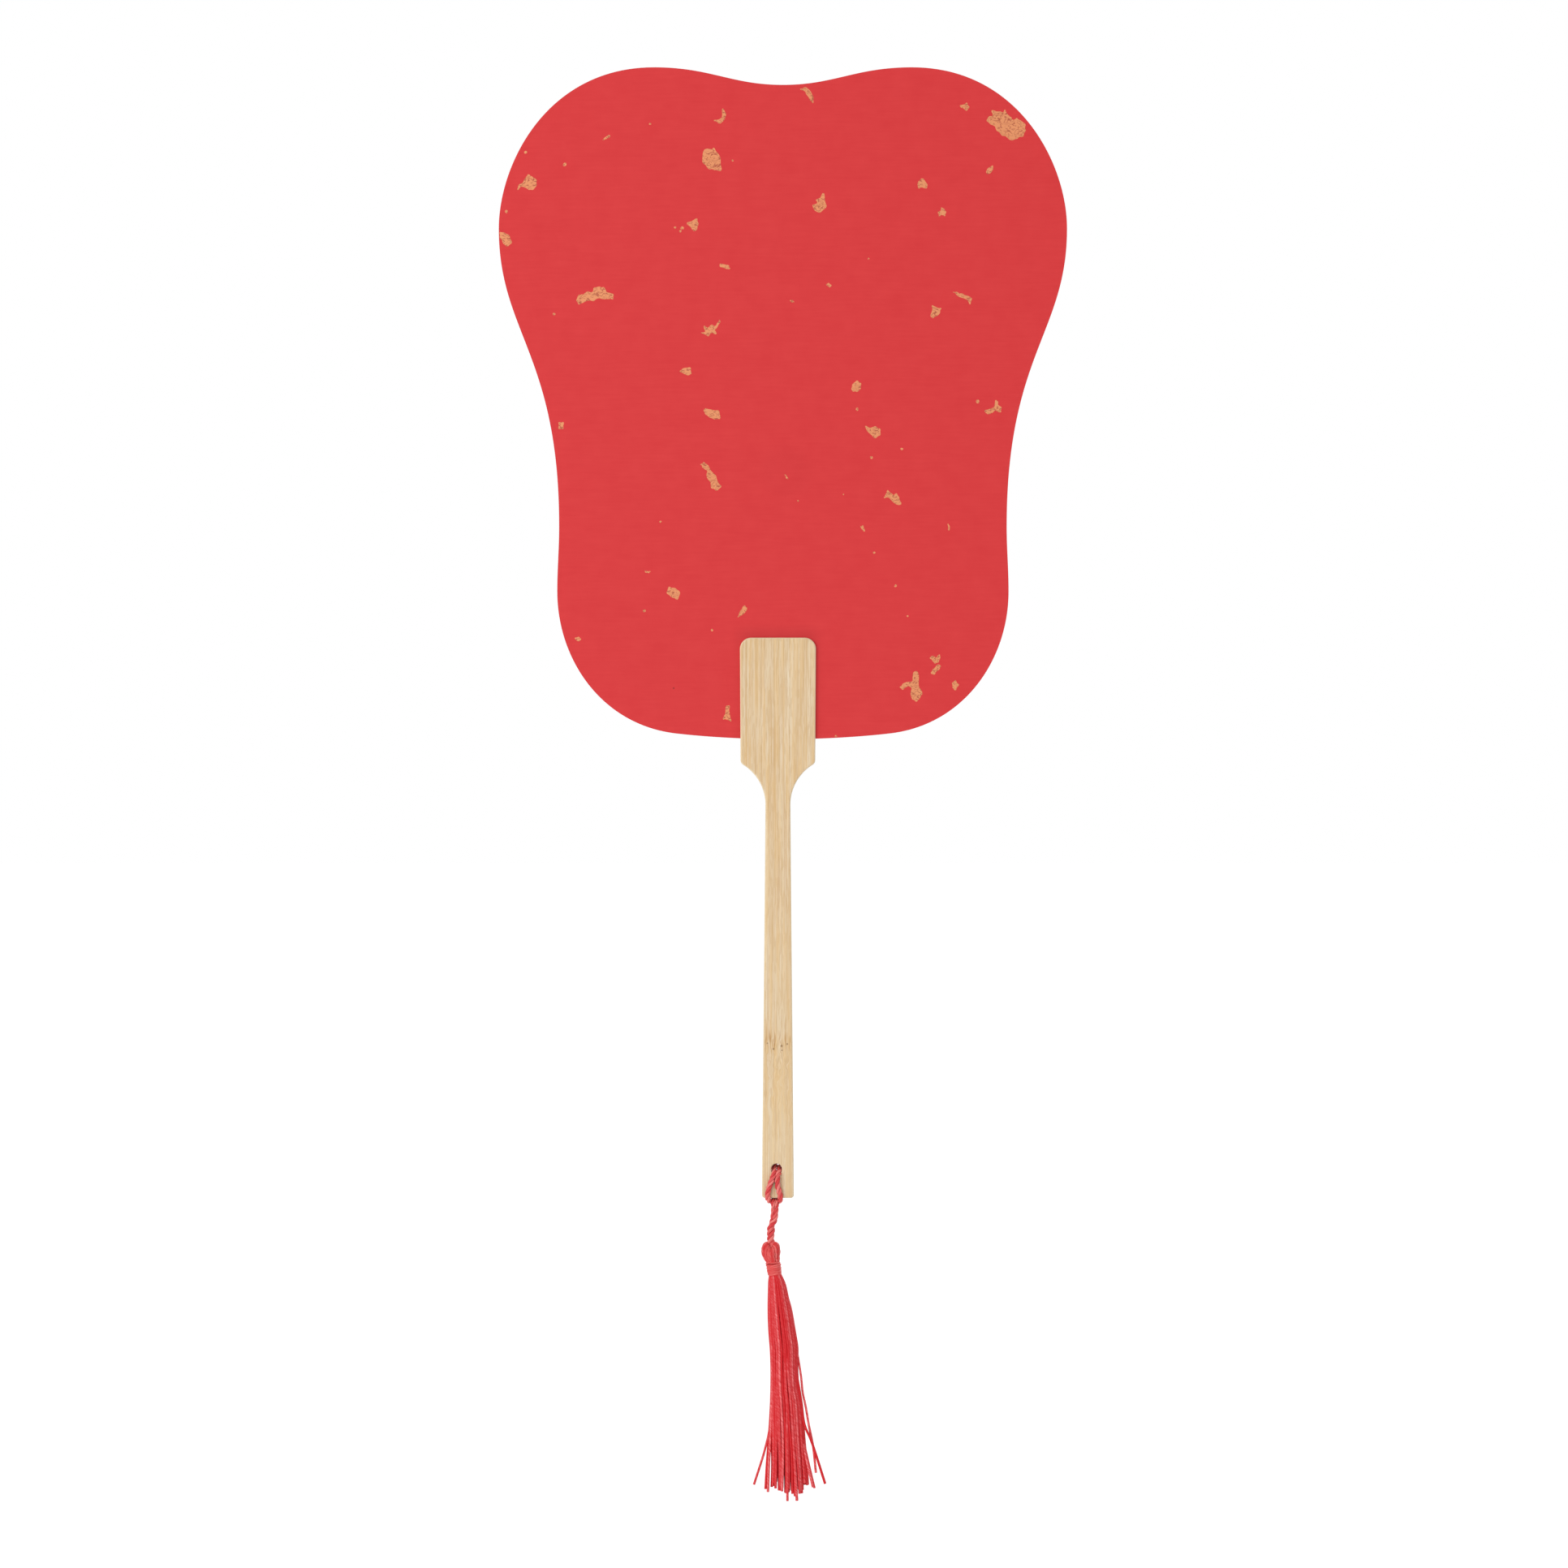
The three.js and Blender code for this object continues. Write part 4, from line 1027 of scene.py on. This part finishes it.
def red_dyed_paper():
    """Red-dyed, calendered paper: an even matte red with soft mottling and faint lines from the mould."""
    material, tree = start_material("red_dyed_paper", {"Roughness": 0.7, "Specular IOR Level": 0.35})
    place = add(tree, "TexCoord").outputs["Object"]
    mottle = add(tree, "TexNoise", {"Vector": place, "Scale": 1 / (7 * MM), "Detail": 4})
    lines = streaks(tree, place, (12, FAR, 0.9), 3)
    both = add(tree, "Math", {0: mottle, 1: lines}, operation="ADD")
    spread = add(tree, "MapRange", {"Value": both, "From Min": 0.7, "From Max": 1.3})
    reds = {"Factor": spread, "A": linear("#d73134"), "B": linear("#db3739")}
    colour = add(tree, "Mix", reds, data_type="RGBA")
    for x, z, solid, edge, strength in PAPER_STAINS:
        centred = add(tree, "VectorMath", {0: place, 1: (x * MM, 0, z * MM)}, operation="SUBTRACT")
        flat = add(tree, "VectorMath", {0: centred, 1: (1, 0, 1)}, operation="MULTIPLY")
        away = add(tree, "VectorMath", {0: flat}, operation="LENGTH")
        fade = {"Value": away, "From Min": edge * MM, "From Max": solid * MM, "To Max": strength}
        stain = add(tree, "MapRange", fade, interpolation_type="SMOOTHSTEP")
        colour = add(tree, "Mix", {"Factor": stain, "A": colour, "B": linear("#8a1c20")}, data_type="RGBA")
    grit = add(tree, "TexNoise", {"Vector": place, "Scale": 1 / (0.3 * MM), "Detail": 2})
    # The paper's colour with the painted shade above the paddle.
    return finish_material(material, painted_paddle_shade(tree, place, colour), grit, strength=0.15, depth=0.03)


def painted_paddle_shade(tree, place, colour):
    """Painted shade: a band of the paper just above the paddle, as wide as the paddle, painted a little
    darker.
    """
    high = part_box("handle")[1]
    axes = add(tree, "SeparateXYZ", {0: place})
    beside = add(tree, "Math", {0: axes.outputs["X"]}, operation="ABSOLUTE")
    fade = {"Value": beside, "From Min": high.x + PADDLE_SHADE_FADE, "From Max": high.x - PADDLE_SHADE_FADE}
    across = add(tree, "MapRange", fade, interpolation_type="SMOOTHSTEP")
    rise = {"From Min": high.z + PADDLE_SHADE_RISE, "From Max": high.z, "To Max": PADDLE_SHADE_STRENGTH}
    above = add(tree, "MapRange", {"Value": axes.outputs["Z"], **rise}, interpolation_type="SMOOTHSTEP")
    both = add(tree, "Math", {0: across, 1: above}, operation="MULTIPLY")
    return add(tree, "Mix", {"Factor": both, "A": colour, "B": linear("#9c1f24")}, data_type="RGBA")


def die_cut_card():
    """Die-cut card: a dull edge of pressed layers, stained red by the dye of the papers."""
    material, tree = start_material("die_cut_card", {"Roughness": 0.9, "Specular IOR Level": 0.2})
    layers = streaks(tree, add(tree, "TexCoord").outputs["Object"], (25, 0.12, 25), 3)
    reds = {"Factor": layers, "A": linear("#a02c30"), "B": linear("#c2474a")}
    return finish_material(material, add(tree, "Mix", reds, data_type="RGBA"))


def gold_foil():
    """Imitation gold leaf, laid loose on the paper: soft copper-gold with fine, short, broken wrinkles."""
    material, tree = start_material("imitation_gold_leaf", {"Metallic": 0.25, "Roughness": 0.55})
    place = add(tree, "TexCoord").outputs["Object"]
    drift = add(tree, "TexNoise", {"Vector": place, "Scale": 1 / (4 * MM), "Detail": 1})
    push = add(tree, "VectorMath", {0: drift.outputs["Color"], "Scale": 4 * MM}, operation="SCALE")
    warped = add(tree, "VectorMath", {0: place, 1: push}, operation="ADD")
    folds = streaks(tree, warped, (2, FAR, 0.8), 1, Rotation=(0, 0.5, 0))
    centred = add(tree, "Math", {0: folds, 1: NOISE_MIDDLE}, operation="SUBTRACT")
    beside = add(tree, "Math", {0: centred}, operation="ABSOLUTE")
    clear = add(tree, "MapRange", {"Value": beside, "From Min": 0.01, "From Max": 0.06})
    gaps = add(tree, "TexNoise", {"Vector": place, "Scale": 1 / (0.9 * MM), "Detail": 0})
    smooth = add(tree, "MapRange", {"Value": gaps, "From Min": 0.52, "From Max": 0.68})
    whole = add(tree, "Math", {0: clear, 1: smooth}, operation="MAXIMUM")
    golds = {"Factor": whole, "A": linear("#ae5439"), "B": linear("#e09160")}
    colour = add(tree, "Mix", golds, data_type="RGBA")
    return finish_material(material, colour, whole, strength=0.4, depth=0.05)


# Bamboo. The heights round its node are measured from the node.
NODE_Z = -24.5 * MM
NODE_PITS = [  # place and radius
    (-1.65, -26.1, 0.35), (1.35, -25, 0.4), (3.45, -24.3, 0.3), (1.5, -26.6, 0.25), (-3.9, -24, 0.25),
]
PIT_FULL = 0.5  # shares of its radius where a pit is at its full strength and where it ends
PIT_END = 1.5
GRAIN_SWAY_BELOW = (-42 * MM, -4 * MM)  # the fibres' sway grows from the first height to the second
GRAIN_SWAY_ABOVE = (7 * MM, 0)
GRAIN_SWAY = 3 * MM
STROKES_ABOVE = (11 * MM, 1 * MM)  # and so do the dark strokes at the node
STROKES_BELOW = (-3 * MM, 0)
PAINTED_LIGHT_BELOW = (70 * MM, -20 * MM)  # and so does the painted light that makes the stem paler towards its lower end
NODE_CONTRAST = 0.25  # how much stronger the fibres show where they sway
LAYER_SHIFT = 9  # keeps the layers' patterns apart
LAYER_RISE = 5.9
BAMBOO_LAYERS = {  # name: width and length of its streaks, and the noise where they start and are full
    "patch": (2.8, 11, 0.3, 0.7),
    "dark": (0.38, 90, 0.44, 0.56),
    "pale": (0.42, 80, 0.44, 0.56),
    "dark_shown": (0.6, 25, 0.36, 0.62),
    "pale_shown": (0.6, 22, 0.36, 0.62),
    "dash": (0.36, 3.5, 0.45, 0.62),
    "warm": (0.8, 30, 0.42, 0.58),
    "band": (3.5, 70, 0.4, 0.6),
}
BAMBOO_FIBRES = [  # fibres, where they show, their colour and strength
    ("pale", "pale_shown", "#f2e2c9", 0.5),
    ("dark", "dark_shown", "#c8995c", 0.5),
    ("dash", "dash", "#c99e64", 0.3),
    ("warm", "warm", "#efc98c", 0.3),
    ("band", "band", "#d6b07c", 0.3),
]


def node_range(axes, heights):
    """The inputs of a range that grows from the first of two heights near the node to the second."""
    start, end = heights
    return {"Value": axes.outputs["Z"], "From Min": NODE_Z + start, "From Max": NODE_Z + end}


def bamboo_grain(tree, place, axes):
    """Places across the fibres, which run straight but sway below the node, and how much they sway."""
    below = add(tree, "MapRange", node_range(axes, GRAIN_SWAY_BELOW), interpolation_type="SMOOTHSTEP")
    above = add(tree, "MapRange", node_range(axes, GRAIN_SWAY_ABOVE), interpolation_type="SMOOTHSTEP")
    sway = add(tree, "Math", {0: above, 1: below}, operation="MULTIPLY")
    wander = streaks(tree, place, (1.8, 1.8, 4.5), 1)
    centred = add(tree, "Math", {0: wander, 1: NOISE_MIDDLE}, operation="SUBTRACT")
    swayed = add(tree, "Math", {0: centred, 1: sway}, operation="MULTIPLY")
    shift = {0: swayed, 1: GRAIN_SWAY, 2: axes.outputs["X"]}
    across = add(tree, "Math", shift, operation="MULTIPLY_ADD")
    return add(tree, "CombineXYZ", {0: across, 1: axes.outputs["Y"], 2: axes.outputs["Z"]}), sway


def node_marks(tree, axes):
    """Dark strokes above the node and the pits of its sanded rootlets, each as a share and its tint."""
    flat = add(tree, "CombineXYZ", {0: axes.outputs["X"], 2: axes.outputs["Z"]})
    near = add(tree, "MapRange", node_range(axes, STROKES_ABOVE))
    under = add(tree, "MapRange", node_range(axes, STROKES_BELOW))
    zone = add(tree, "Math", {0: near, 1: under}, operation="MULTIPLY")
    stroke = streaks(tree, flat, (0.8, FAR, 8), 1)
    dark = add(tree, "MapRange", {"Value": stroke, "From Min": 0.5, "From Max": 0.68})
    marks = add(tree, "Math", {0: dark, 1: zone}, operation="MULTIPLY")
    tints = [(marks, "#bd8d54")]
    for x, z, radius in NODE_PITS:
        away = add(tree, "VectorMath", {0: flat, 1: (x * MM, 0, z * MM)}, operation="DISTANCE")
        fade = {"From Min": radius * PIT_END * MM, "From Max": radius * PIT_FULL * MM, "To Max": 0.8}
        tints.append((add(tree, "MapRange", {"Value": away, **fade}), "#8a6238"))
    return tints


def sanded_bamboo():
    """Sanded, lightly waxed bamboo: pale, fine, straight fibres, with a painted highlight on the rounded
    edges and painted light that makes the stem paler towards its lower end.
    """
    material, tree = start_material("sanded_bamboo", {"Roughness": 0.5, "Specular IOR Level": 0.4})
    coordinates = add(tree, "TexCoord")
    place = coordinates.outputs["Object"]
    axes = add(tree, "SeparateXYZ", {0: place})
    grain, sway = bamboo_grain(tree, place, axes)
    layers = {}
    for name, (width, length, start, full) in BAMBOO_LAYERS.items():
        shift = (LAYER_SHIFT * width, 0, LAYER_RISE)
        noise = streaks(tree, grain, (width, width, length), 0, Location=shift)
        layers[name] = add(tree, "MapRange", {"Value": noise, "From Min": start, "From Max": full})
    tints = []
    for fibres, shown, tint, strength in BAMBOO_FIBRES:
        part = add(tree, "Math", {0: layers[fibres], 1: layers[shown]}, operation="MULTIPLY")
        most = add(tree, "Math", {0: sway, 1: NODE_CONTRAST, 2: strength}, operation="MULTIPLY_ADD")
        tints.append((add(tree, "Math", {0: part, 1: most}, operation="MULTIPLY"), tint))
    # Painted light: the stem is painted paler towards its lower end, as if lit more from below.
    lower = add(tree, "MapRange", {**node_range(axes, PAINTED_LIGHT_BELOW), "To Max": 0.2})
    # Painted highlight: the rounded edges, where the normal turns away from the front and back, are painted
    # paler.
    facing = add(tree, "SeparateXYZ", {0: coordinates.outputs["Normal"]})
    front = add(tree, "Math", {0: facing.outputs["Y"]}, operation="ABSOLUTE")
    edge = add(tree, "MapRange", {"Value": front, "From Min": 0.98, "From Max": 0.8, "To Max": 0.6})
    tints += [(lower, "#f0dcb6"), *node_marks(tree, axes), (edge, "#f0dfbd")]
    base = {"Factor": layers["patch"], "A": linear("#e1c59c"), "B": linear("#e5ceab")}
    colour = add(tree, "Mix", base, data_type="RGBA")
    for share, tint in tints:
        colour = add(tree, "Mix", {"Factor": share, "A": colour, "B": linear(tint)}, data_type="RGBA")
    return finish_material(material, colour, layers["dark"], strength=0.2, depth=0.04)


def rayon(name, dark, light, contrast, hollow, strength, reach, fibres, fibre_length, fibre_turn, sheen):
    """Twisted rayon: fine glossy fibres that lie along the ply, no two plies quite alike, and painted
    highlights.

    The higher the contrast, the fewer fibres come out pale. The pale fibres are tone that differs from fibre
    to fibre, and they are also painted highlights that stand in for sheen. Within its reach of other threads
    the colour goes over to the hollow's colour, at most by its strength: painted shade where that colour is
    dark, and painted light passed between the threads where it is bright. The fibres are counted round a
    ply, and each winds once round it in the length of the fibre turn.
    """
    gloss = {"Roughness": 0.55, "Specular IOR Level": 0.35}
    material, tree = start_material(name, {**gloss, "Sheen Weight": sheen, "Sheen Tint": linear("#ffb0aa")})
    along = add(tree, "UVMap", uv_map="UVMap")
    across = add(tree, "SeparateXYZ", {0: along})
    lane = add(tree, "Math", {0: across.outputs["X"]}, operation="FLOOR")
    own = add(tree, "TexWhiteNoise", {"W": lane}, noise_dimensions="1D")
    lie = {"Rotation": (0, 0, math.atan(1 / fibre_turn)), "Scale": (1 / fibres, fibre_length, 1)}
    fibre_at = add(tree, "Mapping", {"Vector": along, **lie}, vector_type="TEXTURE")
    fibre = add(tree, "TexNoise", {"Vector": fibre_at, "Scale": 1, "Detail": 2})
    mixed = add(tree, "Math", {0: own, 1: PLY_VARIATION, 2: fibre}, operation="MULTIPLY_ADD")
    spread = add(tree, "MapRange", {"Value": mixed, "From Min": 0.4, "From Max": 1.1})
    # Painted highlights: only the palest fibres come out near the light colour, standing in for sheen.
    painted_shine = add(tree, "Math", {0: spread, 1: contrast}, operation="POWER")
    colour = add(tree, "Mix", {"Factor": painted_shine, "A": linear(dark), "B": linear(light)}, data_type="RGBA")
    # Painted into the hollows where other threads lie close: shade with a dark hollow colour, light with a
    # bright one.
    open_sky = add(tree, "AmbientOcclusion", {"Distance": reach * MM}, samples=8).outputs["AO"]
    depth = {"Value": open_sky, "From Min": 0.75, "From Max": 0.15, "To Max": strength}
    painted_hollow_share = add(tree, "MapRange", depth)
    shaded = add(tree, "Mix", {"Factor": painted_hollow_share, "A": colour, "B": linear(hollow)}, data_type="RGBA")
    return finish_material(material, shaded, fibre, strength=0.5, depth=0.06)


def twisted_rayon_cord():
    """Cord of twisted plies, with long fibres and painted shade in the hollows between the plies and in the
    hole.
    """
    return rayon(
        "twisted_rayon_cord", dark="#d93037", light="#ff9a91", contrast=2, hollow="#8a1019",
        strength=0.9, reach=1.8, fibres=16, fibre_length=5, fibre_turn=20, sheen=0.1,
    )


def bound_rayon_thread_painted_lighter():
    """The tassel's thread where it is folded and bound tight: a copy of the loose thread painted paler, as
    if more of its fibres caught the light, with painted shade in its hollows.
    """
    return rayon(
        "bound_rayon_thread_painted_lighter", dark="#d92529", light="#ff918a", contrast=2.2, hollow="#a81019",
        strength=0.7, reach=1.2, fibres=12, fibre_length=5, fibre_turn=12, sheen=0.1,
    )


def twisted_rayon_thread():
    """The tassel's loose thread, strongly twisted. Where the threads lie close it is painted a bright red:
    painted light that stands in for light passed between them.
    """
    return rayon(
        "twisted_rayon_thread", dark="#d6131e", light="#ff888a", contrast=3, hollow="#ec0f1b",
        strength=0.9, reach=1.2, fibres=6, fibre_length=4, fibre_turn=3, sheen=0.05,
    )


set_camera()
make_cord()
make_tassel()
make_leaf()
make_flecks()
make_handle()
set_world()
set_stage()
bpy.context.scene.view_settings.view_transform = "Standard"
